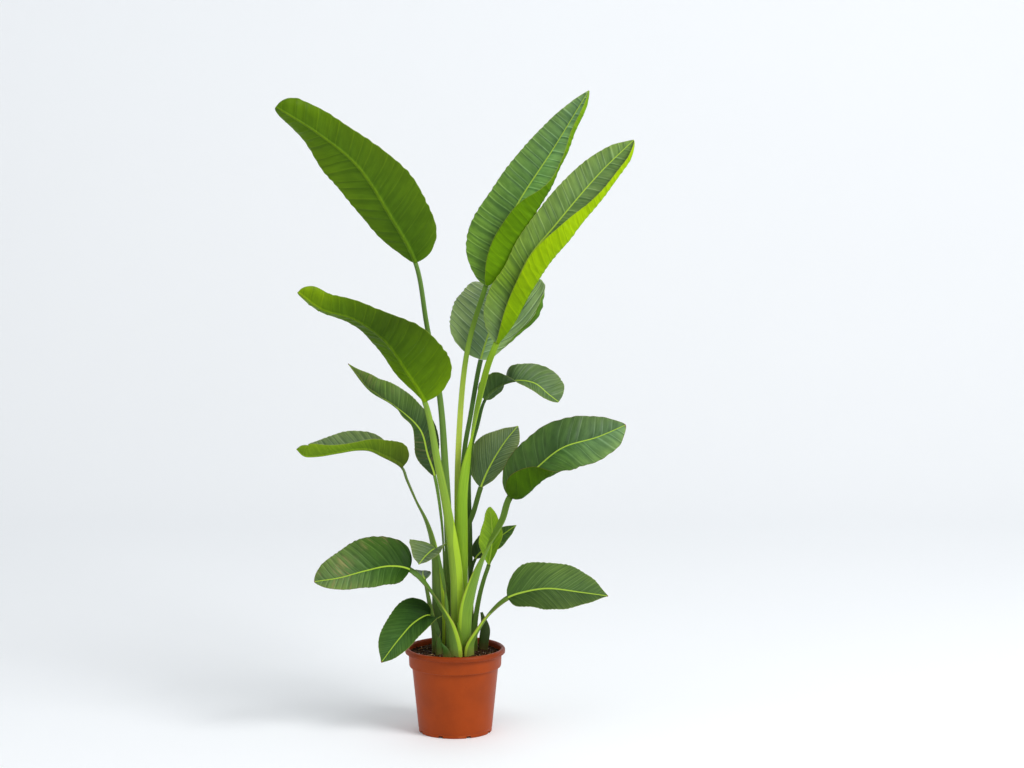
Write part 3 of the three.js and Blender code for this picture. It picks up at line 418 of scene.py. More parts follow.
class LeafSettings(bpy.types.PropertyGroup):
    """What a user would change on the leaves"""
    blade_thickness: length_property(
        "Blade thickness", "Thickness of a blade away from its midrib", 0.0007, 0.0003,
    )
    row_step: length_property("Row step", "Distance between two rows of a blade's mesh", 0.0018, 0.001)
    columns: bpy.props.IntProperty(
        name="Columns", description="Columns of the mesh between midrib and margin", default=22, min=6,
    )
    relief: bpy.props.FloatProperty(
        name="Relief", description="Height of the swelling between side veins, as a share of their distance",
        default=0.11, min=0,
    )
    midrib_colour: colour_property("Midrib", (166, 198, 60), "Colour of the midrib on the upper face")
    margin_colour: colour_property("Margin", (150, 160, 66), "Colour of the thin margin")
    tan_colour: colour_property("Tan streaks", (172, 156, 104), "Colour of faded streaks between the veins")
    burnt_colour: colour_property("Burnt tip", (120, 78, 40), "Colour of the dry tip of an old blade")
    wing_colour: colour_property("Stalk wing", (164, 198, 44), "Colour of the bright side of a stalk")
    edge_colour: colour_property("Sheath edge", (122, 84, 50), "Colour of the dry edge of a sheath")


class PotSettings(bpy.types.PropertyGroup):
    """What a user would change on the pot"""
    height: length_property("Height", "From the floor to the top of the rim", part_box("pot")[1].z, 0.05)
    rim_diameter: length_property(
        "Rim diameter", "Across the outside of the rim", round(2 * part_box("pot")[1].x, 3), 0.05,
    )
    foot_diameter: length_property("Foot diameter", "Across the outside of the foot", 0.139, 0.04)
    wall: length_property("Wall", "Thickness of the wall", 0.002, 0.001)
    colour: colour_property("Plastic", (152, 60, 8), "Colour of the moulded plastic")
    worn_colour: colour_property("Worn plastic", (172, 88, 44), "Colour of rubbed and dusty places")


class SoilSettings(bpy.types.PropertyGroup):
    """What a user would change on the soil"""
    edge_height: length_property("Edge height", "Height of the soil where it meets the pot", 0.1505, 0.05)
    mound: length_property("Mound", "How much higher the soil stands round the stalks", 0.0045, 0)
    crumbs: bpy.props.IntProperty(
        name="Crumbs", description="Number of loose crumbs and bits of bark", default=1500, min=0,
    )
    grit: bpy.props.IntProperty(name="Grit", description="Number of pale bits", default=90, min=0)
    colour: colour_property("Soil", (50, 34, 22), "Colour of the moist potting soil")
    grit_colour: colour_property("Grit", (196, 184, 158), "Colour of the pale bits")
    rootlet_colour: colour_property("Rootlets", (166, 128, 82), "Colour of the dry rootlets")


class StageSettings(bpy.types.PropertyGroup):
    """What a user would change on the floor and the lights"""
    floor_colour: colour_property("Floor", (245, 247, 249), "Colour of the floor and the backdrop")
    key_power: bpy.props.FloatProperty(
        name="Key light", description="Power of the large light at the upper right",
        default=170, min=0, unit="POWER",
    )
    fill_power: bpy.props.FloatProperty(
        name="Fill light", description="Power of the light at the left", default=22, min=0, unit="POWER",
    )
    daylight: bpy.props.FloatProperty(
        name="Daylight", description="Strength of the light from all round", default=0.6, min=0,
    )


# ---------------------------------------------------------------- curves and grids
def catmull_rom(before, start, end, after, f):
    """Cubic from start to end at f, whose slopes are half the steps between the neighbours."""
    bow = 2 * before - 5 * start + 4 * end - after + f * (3 * (start - end) + after - before)
    return start + 0.5 * f * (end - before + f * bow)


def along(values, t):
    """Smooth curve through values that stand at equal steps, read at the shares t."""
    values = np.asarray(values, float)
    last = len(values) - 1
    place = np.clip(t, 0, 1) * last
    step = np.minimum(place.astype(int), last - 1)
    f = (place - step).reshape((-1,) + (1,) * (values.ndim - 1))
    return catmull_rom(*(values[np.clip(step + k, 0, last)] for k in (-1, 0, 1, 2)), f)


def smooth(value, low, high):
    """0 below low and 1 above high, with the cubic 3x^2 - 2x^3 between them."""
    share = np.clip((value - low) / (high - low), 0, 1)
    return share * share * (3 - 2 * share)


def unit(vectors):
    """Vectors divided by their lengths."""
    return vectors / np.linalg.norm(vectors, axis=-1, keepdims=True)


class Line:
    """A centripetal Catmull-Rom curve through way points, measured by its length in millimetres.

    Each span is a cubic Hermite piece whose slopes weigh the chords by the square root of their
    lengths. Distances are turned into places on the curve through a table of its length.
    """

    STEPS = 40

    def __init__(self, points):
        points = np.array(points, float)
        self.spans = len(points) - 1
        self.points = np.vstack([2 * points[0] - points[1], points, 2 * points[-1] - points[-2]])
        self.places = np.linspace(0, self.spans, self.STEPS * self.spans + 1)
        steps = np.linalg.norm(np.diff(self.at(self.places), axis=0), axis=1)
        self.lengths = np.concatenate([[0], np.cumsum(steps)])
        self.total = self.lengths[-1]

    def at(self, place):
        """Points at places, which count the spans: p1 + f * (leave + f * (square + f * cube))."""
        place = np.clip(place, 0, self.spans)
        span = np.minimum(place.astype(int), self.spans - 1)
        f = (place - span)[:, None]
        p0, p1, p2, p3 = (self.points[span + k] for k in range(4))
        d0, d1, d2 = (((b - a) ** 2).sum(1, keepdims=True) ** 0.25 for a, b in ((p0, p1), (p1, p2), (p2, p3)))
        leave = ((p1 - p0) / d0 - (p2 - p0) / (d0 + d1) + (p2 - p1) / d1) * d1
        arrive = ((p2 - p1) / d1 - (p3 - p1) / (d1 + d2) + (p3 - p2) / d2) * d1
        square = 3 * (p2 - p1) - 2 * leave - arrive
        cube = 2 * (p1 - p2) + leave + arrive
        return p1 + f * (leave + f * (square + f * cube))

    def frames(self, distance, towards):
        """Point, forward, up (towards made square to forward) and side at each distance."""
        place = np.interp(distance, self.lengths, self.places)
        nudge = 1e-4 * self.spans
        forward = unit(self.at(place + nudge) - self.at(place - nudge))
        up = unit(towards - (towards * forward).sum(1, keepdims=True) * forward)
        return self.at(place), forward, up, np.cross(forward, up)


def leaf_line(leaf):
    """The line of a leaf and the length of its stalk."""
    foot = [[leaf["route"][0][0], leaf["route"][0][1], STALK_FOOT]]
    line = Line(foot + leaf["route"] + leaf.get("midrib", []))
    return line, line.lengths[Line.STEPS * len(leaf["route"])]


def ring_faces(rows, sides):
    """Quads between neighbouring rings of points, and the two end rings as caps."""
    i, j = np.meshgrid(np.arange(rows - 1), np.arange(sides), indexing="ij")
    a = i * sides + j
    b = i * sides + (j + 1) % sides
    quads = np.stack([a, b, b + sides, a + sides], -1).reshape(-1, 4)
    caps = [list(range(sides))[::-1], list(range((rows - 1) * sides, rows * sides))]
    return quads, caps


def value_noise(x, y, cell, seed):
    """Random heights at the corners of square cells, blended smoothly in between, from -1 to 1."""
    cells = 64
    table = np.random.default_rng(seed).uniform(-1, 1, (cells, cells))
    i, j = np.floor(x / cell).astype(int), np.floor(y / cell).astype(int)
    u, v = smooth(x / cell - i, 0, 1), smooth(y / cell - j, 0, 1)
    at = lambda di, dj: table[(i + di) % cells, (j + dj) % cells]
    return (at(0, 0) * (1 - u) + at(1, 0) * u) * (1 - v) + (at(0, 1) * (1 - u) + at(1, 1) * u) * v


def add_piece(name, points, faces, materials, stands_for=(), attributes=None, face_slots=None):
    """Makes a mesh object from points in millimetres and puts it on the plant's body."""
    mesh = bpy.data.meshes.new(name)
    mesh.from_pydata((np.asarray(points) * MM).tolist(), [], faces)
    mesh.polygons.foreach_set("use_smooth", np.ones(len(mesh.polygons), bool))
    for key, values in (attributes or {}).items():
        layer = mesh.attributes.new(key, "FLOAT_VECTOR", "POINT")
        layer.data.foreach_set("vector", np.asarray(values, np.float32).ravel())
    for material in materials:
        mesh.materials.append(material)
    if face_slots is not None:
        mesh.polygons.foreach_set("material_index", face_slots)
    mesh.update()
    piece = bpy.data.objects.new(name, mesh)
    bpy.context.scene.collection.objects.link(piece)
    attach(piece, BODY)
    if stands_for:
        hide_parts(*stands_for)


# ---------------------------------------------------------------- materials
class Finish:
    """One material, built node by node around its Principled shader."""

    def __init__(self, name, **settings):
        self.material = bpy.data.materials.new(name)
        self.material.use_nodes = True
        self.tree = self.material.node_tree
        self.shader = self.tree.nodes["Principled BSDF"]
        for socket, value in settings.items():
            self.shader.inputs[socket.replace("_", " ")].default_value = value

    def node(self, kind, inputs, output=0, **options):
        """Adds a node, sets its options, feeds its inputs and gives back one output."""
        made = self.tree.nodes.new(kind)
        for key, value in options.items():
            setattr(made, key, value)
        for key, value in inputs.items():
            self.feed(made.inputs[key], value)
        return made.outputs[output]

    def feed(self, socket, value):
        """Links an output to the socket, or sets a plain value on the socket itself."""
        if isinstance(value, bpy.types.NodeSocket):
            self.tree.links.new(value, socket)
        elif socket.type == "RGBA" and len(value) == 3:
            socket.default_value = (*value, 1)
        else:
            socket.default_value = value

    def math(self, operation, first, second=0.0, third=0.0):
        """One step of arithmetic on up to three numbers."""
        return self.node("ShaderNodeMath", {0: first, 1: second, 2: third}, operation=operation)

    def step(self, value, low, high, start=0.0, end=1.0):
        """start below low and end above high, with a smooth change between them."""
        inputs = {"Value": value, "From Min": low, "From Max": high, "To Min": start, "To Max": end}
        return self.node("ShaderNodeMapRange", inputs, interpolation_type="SMOOTHSTEP")

    def mix(self, share, first, second):
        """first + share * (second - first), for colours."""
        inputs = {0: share, 6: first, 7: second}
        return self.node("ShaderNodeMix", inputs, output=2, data_type="RGBA")

    def ramp(self, share, colours):
        """Colours given as 0 to 255 at equal steps of share, blended in between."""
        made = self.tree.nodes.new("ShaderNodeValToRGB")
        self.feed(made.inputs[0], share)
        stops = made.color_ramp.elements
        stops.remove(stops[1])
        stops[0].color = (*linear(colours[0]), 1)
        for number, colour in enumerate(colours[1:], 1):
            stops.new(number / (len(colours) - 1)).color = (*linear(colour), 1)
        return made.outputs[0]

    def shaded(self, share, colour, factors):
        """The colour times three factors, by share."""
        product = self.node("ShaderNodeVectorMath", {0: colour, 1: factors}, operation="MULTIPLY")
        return self.mix(share, colour, product)

    def split(self, vector):
        """The three numbers of a vector."""
        parts = self.tree.nodes.new("ShaderNodeSeparateXYZ")
        self.feed(parts.inputs[0], vector)
        return parts.outputs

    def attribute(self, name):
        """A vector attribute of the mesh, whole and as its three numbers."""
        vector = self.node("ShaderNodeAttribute", {}, output=1, attribute_name=name)
        return vector, self.split(vector)

    def place(self):
        """Object coordinates, in metres."""
        return self.node("ShaderNodeTexCoord", {}, output=3)

    def noise(self, vector, scale, detail=2.0, roughness=0.5):
        """Cloudy noise from 0 to 1, with scale patches to a unit of vector."""
        inputs = {"Vector": vector, "Scale": scale, "Detail": detail, "Roughness": roughness}
        return self.node("ShaderNodeTexNoise", inputs)

    def stretched(self, vector, scale):
        """The vector with each of its numbers times its own scale."""
        return self.node("ShaderNodeMapping", {"Vector": vector, "Scale": scale})

    def lines(self, value, pitch, sharpness):
        """Thin lines, 1 on each and 0 between them, at every pitch of value."""
        turn = self.math("MULTIPLY", value, 2 * np.pi / pitch)
        crest = self.math("MULTIPLY_ADD", self.math("COSINE", turn), 0.5, 0.5)
        return self.math("POWER", crest, sharpness)

    def surface(self, colour, roughness, height, depth):
        """Feeds the shader its colour and roughness and a bump of depth metres; gives the material."""
        self.feed(self.shader.inputs["Base Color"], colour)
        self.feed(self.shader.inputs["Roughness"], roughness)
        bump = self.node("ShaderNodeBump", {"Height": height, "Distance": depth, "Strength": 1.0})
        self.feed(self.shader.inputs["Normal"], bump)
        return self.material


def tinted(colour, factor, warm=0.0):
    """A colour made lighter or darker, and moved towards yellow by warm."""
    red, green, blue = (channel * factor for channel in colour)
    return (min(red * (1 + warm), 1), min(green * (1 + 0.4 * warm), 1), min(blue * (1 - warm), 1))


def blade_finish(name, colours, leaf, settings, under):
    """Leaf tissue from base to tip: side veins with streaks between them and painted shade beside them,
    midrib, margin and dry tip; one half of the upper face may be painted lighter and the other darker,
    painted light and shade.

    The attribute lay holds the distances across from the midrib, to the tip and to the margin. The
    attribute share holds the shares across and along, and the place between the side veins, which is
    whole on each vein.
    """
    blade = Finish(name, IOR=1.45, Specular_IOR_Level=0.1 if under else leaf.get("gloss", 0.22))
    _, (across, to_tip, to_margin) = blade.attribute("lay")
    _, (share, t, vein) = blade.attribute("share")
    place = blade.place()
    ribbed = leaf.get("ribbed", 0.5)
    out = blade.math("ABSOLUTE", across)
    edge = blade.math("ABSOLUTE", share)
    parts = {0: blade.math("MULTIPLY", vein, 2.6), 1: blade.math("MULTIPLY", across, 26.0), 2: t}
    between = blade.node("ShaderNodeCombineXYZ", parts)
    streak = blade.noise(between, 1.0, 3, 0.6)
    main = blade.lines(vein, 1.0, 0.16 * (leaf["veins"] / 1.2) ** 2)
    painted_vein_shade = blade.lines(blade.math("ADD", vein, 0.13), 1.0, 3)
    fine = blade.lines(vein, 1 / 6, 3)
    strength = 0.55 if under else 1.0
    blotch = blade.step(blade.noise(place, 22, 3), 0.3, 0.7)
    fleck = blade.noise(place, 240, 4, 0.6)

    # The colours are means: the first factor makes up for what the patterns darken.
    tissue = blade.shaded(1.0, blade.ramp(t, colours), (1.04 if under else 1.14,) * 3)
    # Painted light and shade: one half of the upper face is painted lighter and the other darker, for how the
    # light falls on each half.
    if "painted_light_balance" in leaf and not under:
        lighter = leaf["painted_light_balance"] ** 0.5
        side = blade.step(share, -0.06, 0.06)
        tissue = blade.shaded(side, tissue, (lighter,) * 3)
        tissue = blade.shaded(blade.math("SUBTRACT", 1.0, side), tissue, (1 / lighter,) * 3)
    tissue = blade.shaded(blade.math("MULTIPLY", blotch, strength), tissue, (0.78, 0.82, 0.86))
    tissue = blade.shaded(blade.step(streak, 0.36, 0.64, 0, strength), tissue, (0.7, 0.74, 0.72))
    # Painted shade: one flank of each side vein is painted darker, for the shade of the swelling between the
    # veins.
    tissue = blade.shaded(blade.math("MULTIPLY", painted_vein_shade, 0.3 if under else ribbed), tissue, (0.5, 0.57, 0.6))
    tissue = blade.shaded(blade.step(edge, 0.3, 1), tissue, (1.2, 1.12, 0.9))
    tissue = blade.shaded(blade.step(edge, 0, 0.3, 1, 0), tissue, (0.84, 0.88, 0.9))
    tissue = blade.shaded(blade.math("MULTIPLY", fine, 0.12), tissue, (1.5, 1.4, 1.4))
    tissue = blade.shaded(blade.math("MULTIPLY", main, 0.25 if under else ribbed), tissue, (2.3, 1.95, 2.7))
    tissue = blade.shaded(blade.step(fleck, 0.66, 0.78, 0, 0.3), tissue, (0.7, 0.66, 0.6))
    if "worn" in leaf:
        patch = blade.step(blade.noise(place, 14, 2), 0.46, 0.64)
        faded = blade.math("MULTIPLY", blade.step(streak, 0.46, 0.7), patch)
        tissue = blade.mix(blade.math("MULTIPLY", faded, leaf["worn"]), tissue, settings.tan_colour)

    half_rib = 0.004 if under else 0.0022
    narrow = blade.math("MULTIPLY_ADD", t, -0.62 * half_rib, half_rib)
    rib = blade.math("DIVIDE", out, narrow)
    if under:
        tissue = blade.shaded(blade.step(rib, 0.5, 1.4, 1, 0), tissue, (1.75, 1.5, 1.3))
    else:
        tissue = blade.mix(blade.step(rib, 0.55, 1.15, 0.85, 0), tissue, settings.midrib_colour)

    rim = blade.step(to_margin, 0.0002, 0.0011, 0.55, 0)
    tissue = blade.mix(rim, tissue, linear(leaf["edge"]) if "edge" in leaf else settings.margin_colour)
    dry = blade.math("MULTIPLY_ADD", blade.noise(place, 160, 3), 0.006, to_tip)
    burnt = leaf.get("burnt", 0) * MM
    dried = blade.step(dry, 0.002 + burnt * 0.5, 0.003 + burnt, 1, 0)
    tissue = blade.mix(dried, tissue, settings.burnt_colour)

    height = blade.math("MULTIPLY_ADD", main, -0.6 if under else 0.6, blade.math("MULTIPLY", fine, 0.3))
    height = blade.math("MULTIPLY_ADD", blade.noise(place, 420, 3), 0.25, height)
    gloss = blade.step(blade.noise(place, 60, 3), 0.2, 0.8, 0.46 if under else 0.38, 0.6 if under else 0.52)
    return blade.surface(tissue, gloss, height, 0.0002)


def stalk_finish(name, colours, settings, wing=None, old=False):
    """Stalk tissue from foot to blade: lengthwise streaks, a bright wing low on one side, dry edges.

    The attribute round holds the cosine and sine around the stalk and the distance along it, and the
    attribute level the height and the share of the length. The wing is a band whose inner edge slants
    from the margin, at its top, in over the stalk.
    """
    stalk = Finish(name, IOR=1.45, Specular_IOR_Level=0.3)
    vector, (around, _, _) = stalk.attribute("round")
    _, (height, share, _) = stalk.attribute("level")
    streak = stalk.noise(stalk.stretched(vector, (7, 7, 9)), 1.0, 4, 0.6)
    fine = stalk.noise(stalk.stretched(vector, (34, 34, 24)), 1.0, 3)
    cloud = stalk.noise(stalk.place(), 16, 3)
    tissue = stalk.ramp(share, colours)
    tissue = stalk.shaded(stalk.step(streak, 0.34, 0.66), tissue, (0.74, 0.8, 0.72))
    tissue = stalk.shaded(stalk.step(fine, 0.35, 0.65, 0, 0.8), tissue, (1.24, 1.17, 1.1))
    tissue = stalk.shaded(stalk.step(cloud, 0.4, 0.7, 0, 0.5), tissue, (1.18, 1.1, 0.9))
    if wing:
        side = stalk.math("MULTIPLY", around, float(wing[0]))
        start = stalk.step(height, wing[2], wing[3], 1 - 1.1 * wing[1], 1.06)
        band = stalk.step(stalk.math("SUBTRACT", side, start), -0.04, 0.06)
        tissue = stalk.mix(stalk.math("MULTIPLY", band, 0.85), tissue, settings.wing_colour)
    fading = stalk.step(height, 0.2, 0.4, 0.7, 0.12)
    rim = stalk.math("MULTIPLY", stalk.step(stalk.math("ABSOLUTE", around), 0.95, 0.995), fading)
    tissue = stalk.mix(rim, tissue, settings.edge_colour)
    foot = stalk.math("MULTIPLY_ADD", stalk.noise(stalk.place(), 60, 3), 0.02, height)
    tissue = stalk.mix(stalk.step(foot, 0.162, 0.184, 0.4, 0), tissue, settings.edge_colour)
    spot = stalk.step(stalk.noise(stalk.place(), 300, 4, 0.6), 0.68, 0.78, 0, 0.6 if old else 0.3)
    tissue = stalk.mix(spot, tissue, settings.edge_colour)
    relief = stalk.math("MULTIPLY_ADD", fine, 0.5, streak)
    return stalk.surface(tissue, stalk.step(fine, 0.3, 0.7, 0.42, 0.58), relief, 0.0004)


def pot_finish(settings):
    """Moulded satin plastic: cloudy colour, fine grain, specks of dust, painted shade on the rim, a scuffed
    foot.
    """
    pot = Finish("pot_plastic", IOR=1.5, Specular_IOR_Level=0.16)
    place = pot.place()
    colour = tuple(settings.colour)
    _, _, height = pot.split(place)
    cloud = pot.noise(place, 18, 4, 0.6)
    grain = pot.noise(place, 900, 2)
    speck = pot.noise(place, 330, 3, 0.7)
    plastic = pot.mix(pot.step(cloud, 0.3, 0.7), tinted(colour, 0.9), tinted(colour, 1.08))
    dust = pot.math("MULTIPLY", pot.step(speck, 0.6, 0.72), pot.step(cloud, 0.35, 0.6, 0.05, 0.3))
    plastic = pot.mix(dust, plastic, settings.worn_colour)
    # Painted shade: the rim, the top 10 mm, is painted darker, for the shade on its face.
    rim = pot.step(height, settings.height - 0.0105, settings.height - 0.0095)
    plastic = pot.shaded(rim, plastic, (0.8, 0.76, 0.72))
    scuff = pot.noise(pot.stretched(place, (40, 40, 220)), 1.0, 4, 0.7)
    low = pot.step(height, 0.006, 0.02, 1, 0)
    scuffed = pot.math("MULTIPLY", pot.step(scuff, 0.55, 0.7, 0, 0.5), low)
    plastic = pot.mix(scuffed, plastic, settings.worn_colour)
    roughness = pot.step(cloud, 0.3, 0.7, 0.38, 0.5)
    relief = pot.math("MULTIPLY_ADD", speck, 0.5, grain)
    return pot.surface(plastic, roughness, relief, 0.00012)


def soil_finish(name, colour, contrast):
    """Crumbly matter: dark and lighter grains over a coarse patchwork, rough all over."""
    soil = Finish(name, IOR=1.4, Specular_IOR_Level=0.12)
    place = soil.place()
    coarse = soil.noise(place, 110, 4, 0.7)
    grain = soil.noise(place, 700, 3, 0.7)
    dark, light = tinted(colour, 1 - contrast), tinted(colour, 1 + contrast, 0.1)
    matter = soil.mix(soil.step(coarse, 0.35, 0.65), dark, light)
    matter = soil.mix(soil.step(grain, 0.6, 0.72, 0, 0.6), matter, tinted(colour, 2.2, 0.12))
    relief = soil.math("MULTIPLY_ADD", grain, 0.4, coarse)
    return soil.surface(matter, soil.step(grain, 0.3, 0.7, 0.78, 0.95), relief, 0.0012)


# ---------------------------------------------------------------- leaf surfaces
def outline(t, leaf):
    """Share of the full reach: a quarter ellipse at the base, a parabola to the power blunt at the tip."""
    base = np.minimum(t / BASE_ROUNDING, 1)
    tip = np.minimum((1 - t) / leaf.get("tip", TIP_ROUNDING), 1)
    return np.sqrt(base * (2 - base)) * (tip * (2 - tip)) ** leaf.get("blunt", TIP_BLUNTNESS)


def vein_place(ahead, out, leaf, sign):
    """Place between the side veins, whole on each one, of points out from the midrib.

    A vein leans to the tip by lean times its distance from the midrib, by VEIN_BOW times the square
    of that distance, and by VEIN_START_LEAN * (1 - exp(-distance / VEIN_START)). The veins of the two
    halves alternate, and two sines make their distances uneven.
    """
    start = VEIN_START_LEAN * (1 - np.exp(-out / VEIN_START))
    lean = leaf.get("lean", VEIN_LEAN) * out + VEIN_BOW * out ** 2 + start
    even = (ahead - lean) / leaf["veins"] + 0.25 * sign
    return even + 0.16 * np.sin(2.3 * even + 1.7 * sign) + 0.05 * np.sin(5.9 * even)


def blade_section(part, t, share, reach):
    """Across, height and angle of one half of a blade at rows t and the given shares of its reach.

    The section is an arc whose angle is rise + curl * smooth(share; bend); its sideways and upward
    parts are the sums of the angle's cosine and sine over the share.
    """
    rise = along(part["rise"], t)[:, None]
    curl = along(part["curl"], t)[:, None]
    start, end = (along(bend, t)[:, None] if np.ndim(bend) else bend for bend in part["bend"])
    angle_at = lambda v: np.radians(rise + curl * smooth(v, start, end))
    middle = angle_at(0.5 * (share[:, 1:] + share[:, :-1]))
    step = np.diff(share, axis=1) * reach[:, None]
    zero = np.zeros((len(t), 1))
    across = np.hstack([zero, np.cumsum(np.cos(middle) * step, axis=1)])
    high = np.hstack([zero, np.cumsum(np.sin(middle) * step, axis=1)])
    return across, high, angle_at(share)


def blade_surface(leaf, line, stalk, settings):
    """The blade as a closed plate: each row is a ring over the upper face and back under it.

    Rows stand closer together at base and tip, by a cosine. Columns stand at a sine's steps over the
    midrib and nearly evenly from there to the margin. No half is narrower than 0.35 of the stalk's
    width at the base, or than 1 mm at the tip. Waves grow with the square of the share, and shallow
    scallops run along the margin: a sine of the length whose height varies slowly. Between the side
    veins the tissue swells by |sin(pi * place)| to the power 0.6. The lower side of a row stands off by
    the thickness along the section's normal, and at the midrib by a rounded rib that thins from half
    the stalk's depth to RIB_TIP_DEPTH.
    """
    length = line.total - stalk - BLADE_START
    rows = int(np.clip(length / (settings.row_step / MM), FEWEST_ROWS, MOST_ROWS))
    even = np.linspace(0, 1, rows)
    t = 0.6 * even + 0.4 * (0.5 - 0.5 * np.cos(np.pi * even))
    point, forward, up, side = line.frames(stalk + BLADE_START + length * t, along(leaf["face"], t))
    full = outline(t, leaf)
    stem_width, stem_depth = leaf["width"][-1], leaf["depth"][-1]
    thickness = settings.blade_thickness / MM
    rib_half = (RIB_WIDTH * stem_width * (1 - t) + RIB_TIP_HALF * t)[:, None]
    rib_depth = (0.5 * stem_depth * (1 - t) + RIB_TIP_DEPTH * t)[:, None]
    narrowest = 0.35 * stem_width * (1 - t) + t
    wave_height, waves = leaf["wave"]
    ahead = (length * t)[:, None]
    in_rib = np.sin(0.5 * np.pi * np.arange(RIB_COLUMNS + 1) / RIB_COLUMNS)
    beyond = 1 - (1 - np.arange(1, settings.columns + 1) / settings.columns) ** 1.15
    upper, lower, lay, shares = [], [], [], []
    for part, sign in ((leaf["left"], -1), (leaf["right"], 1)):
        turn = 2 * np.pi * length * t / (SCALLOP_PITCH * leaf["veins"]) + 2 * sign
        scallop = 1 + SCALLOP_DEPTH * np.sin(turn) * (0.6 + 0.4 * np.sin(0.27 * turn))
        reach = np.maximum(narrowest, along(part["reach"], t) * full * scallop)
        rib = np.minimum(0.45, rib_half / reach[:, None])
        share = np.hstack([rib * in_rib, rib + (1 - rib) * beyond])
        x, y, angle = blade_section(part, t, share, reach)
        out = share * reach[:, None]
        vein = vein_place(ahead, out, leaf, sign)
        swell = np.abs(np.sin(np.pi * vein)) ** 0.6 - 0.6
        within = smooth(out, 1.5, 12) * (1 - 0.8 * smooth(share, 0.7, 1)) * smooth(t, 0, 0.1)[:, None]
        turned = np.abs(angle - angle[:, :1])
        within = within * (1 - 0.8 * smooth(turned, 0.3, 1.1)) * smooth(1 - t, 0, 0.12)[:, None]
        lift = settings.relief * leaf["veins"] * swell * within
        ripple = (np.sin(np.pi * t) * np.sin(2 * np.pi * waves * t + sign))[:, None]
        lift = lift + wave_height * share ** 2 * ripple
        back = part["lobe"] * (share * full[:, None]) ** 3 * (1 - t)[:, None] ** 5
        top = (x - np.sin(angle) * lift, y + np.cos(angle) * lift)
        from_rib = np.minimum(1, out / rib_half)
        deep = thickness * (1 - 0.45 * share ** 8)
        deep = deep + np.maximum(rib_depth - thickness, 0) * np.sqrt(1 - from_rib ** 2)
        bottom = (top[0] + np.sin(angle * from_rib) * deep, top[1] - np.cos(angle * from_rib) * deep)
        for grid, (gx, gy) in ((upper, top), (lower, bottom)):
            grid.append(point[:, None] + side[:, None] * (sign * gx)[..., None] + up[:, None] * gy[..., None]
                        - forward[:, None] * back[..., None])
        lay.append(np.stack([sign * out, length - ahead + 0 * out, reach[:, None] - out], -1) * MM)
        shares.append(np.stack([sign * share, t[:, None] + 0 * share, vein], -1))
    over = lambda grids: np.hstack([grids[0][:, :0:-1], grids[1]])
    ring = lambda first, second: np.hstack([over(first), over(second)[:, ::-1]])
    points = ring(upper, lower)
    sides = points.shape[1]
    quads, caps = ring_faces(rows, sides)
    column = np.tile(np.arange(sides), rows - 1)
    is_under = (column >= sides // 2) & (column < sides - 1)
    attributes = {"lay": ring(lay, lay).reshape(-1, 3), "share": ring(shares, shares).reshape(-1, 3)}
    # The rings run from the left margin to the right one over the top, which faces in: turn them.
    faces = quads[:, ::-1].tolist() + [cap[::-1] for cap in caps]
    return points.reshape(-1, 3), faces, attributes, np.append(is_under, [0, 0]).astype(np.int32)


def stalk_surface(leaf, line, stalk, step=6.0, hollow=0.35, pointed=False):
    """A stalk as rings along its line: half an ellipse outside, a channel on the upper side.

    Over half the depth, the upper side stands at sin * flatness - sin^2 * dip. The dip grows towards
    the foot. Below a blade it fades out over the last 40 mm and the flatness falls to a tenth over the
    last 25, so that the stalk ends nearly flat under the midrib; a pointed sheath keeps both.
    """
    count = max(12, int(stalk / step))
    t = np.linspace(0, 1, count)
    point, forward, up, side = line.frames(stalk * t, along(leaf["look"], t))
    width = along(leaf["width"], t)[:, None]
    depth = along(leaf["depth"], t)[:, None]
    turn = 2 * np.pi * np.arange(STALK_SIDES) / STALK_SIDES
    sine, cosine = np.sin(turn)[None], np.cos(turn)[None]
    dip = hollow + 0.45 * smooth(1 - t, 0.5, 1)[:, None]
    if not pointed:
        dip = dip * smooth(stalk * (1 - t), 0, 40)[:, None]
        flat = CHANNEL_FLATNESS * (0.1 + 0.9 * smooth(stalk * (1 - t), 0, 25)[:, None])
    else:
        flat = CHANNEL_FLATNESS
    high = np.where(sine > 0, sine * flat - sine ** 2 * dip, sine)
    x, y = cosine * width / 2, high * depth / 2
    points = point[:, None] + side[:, None] * x[..., None] + up[:, None] * y[..., None]
    quads, caps = ring_faces(count, STALK_SIDES)
    faces = quads.tolist() + caps
    distance = np.broadcast_to((stalk * t)[:, None] * MM, x.shape)
    # The first number of the attribute is the side as seen from the front, so that wings agree.
    facing = np.where(side[:, :1] > 0, 1, -1)
    around = np.stack([cosine * facing, np.broadcast_to(sine, x.shape), distance], -1)
    level = np.stack([points[..., 2] * MM, t[:, None] + 0 * x, 0 * x], -1)
    attributes = {"round": around.reshape(-1, 3), "level": level.reshape(-1, 3)}
    return points.reshape(-1, 3), faces, attributes


# ---------------------------------------------------------------- pot and soil surfaces
def rounded(profile):
    """Profile of radius, height and size of the rounding; each corner becomes a quadratic arc."""
    profile = np.array(profile, float)
    points = [profile[0, :2]]
    for before, corner, after in zip(profile, profile[1:], profile[2:]):
        size = corner[2]
        if size == 0:
            points.append(corner[:2])
            continue
        start = corner[:2] + size * unit(before[:2] - corner[:2])
        end = corner[:2] + size * unit(after[:2] - corner[:2])
        f = np.linspace(0, 1, 5)[:, None]
        points.extend((1 - f) ** 2 * start + 2 * f * (1 - f) * corner[:2] + f ** 2 * end)
    points.append(profile[-1, :2])
    return np.array(points)


def lathe(profile, turns):
    """Points of a profile of radius and height carried round Z at the given angles."""
    radius, height = profile[:, 0][:, None], profile[:, 1][:, None]
    return np.stack([radius * np.cos(turns), radius * np.sin(turns), height + 0 * turns], -1)


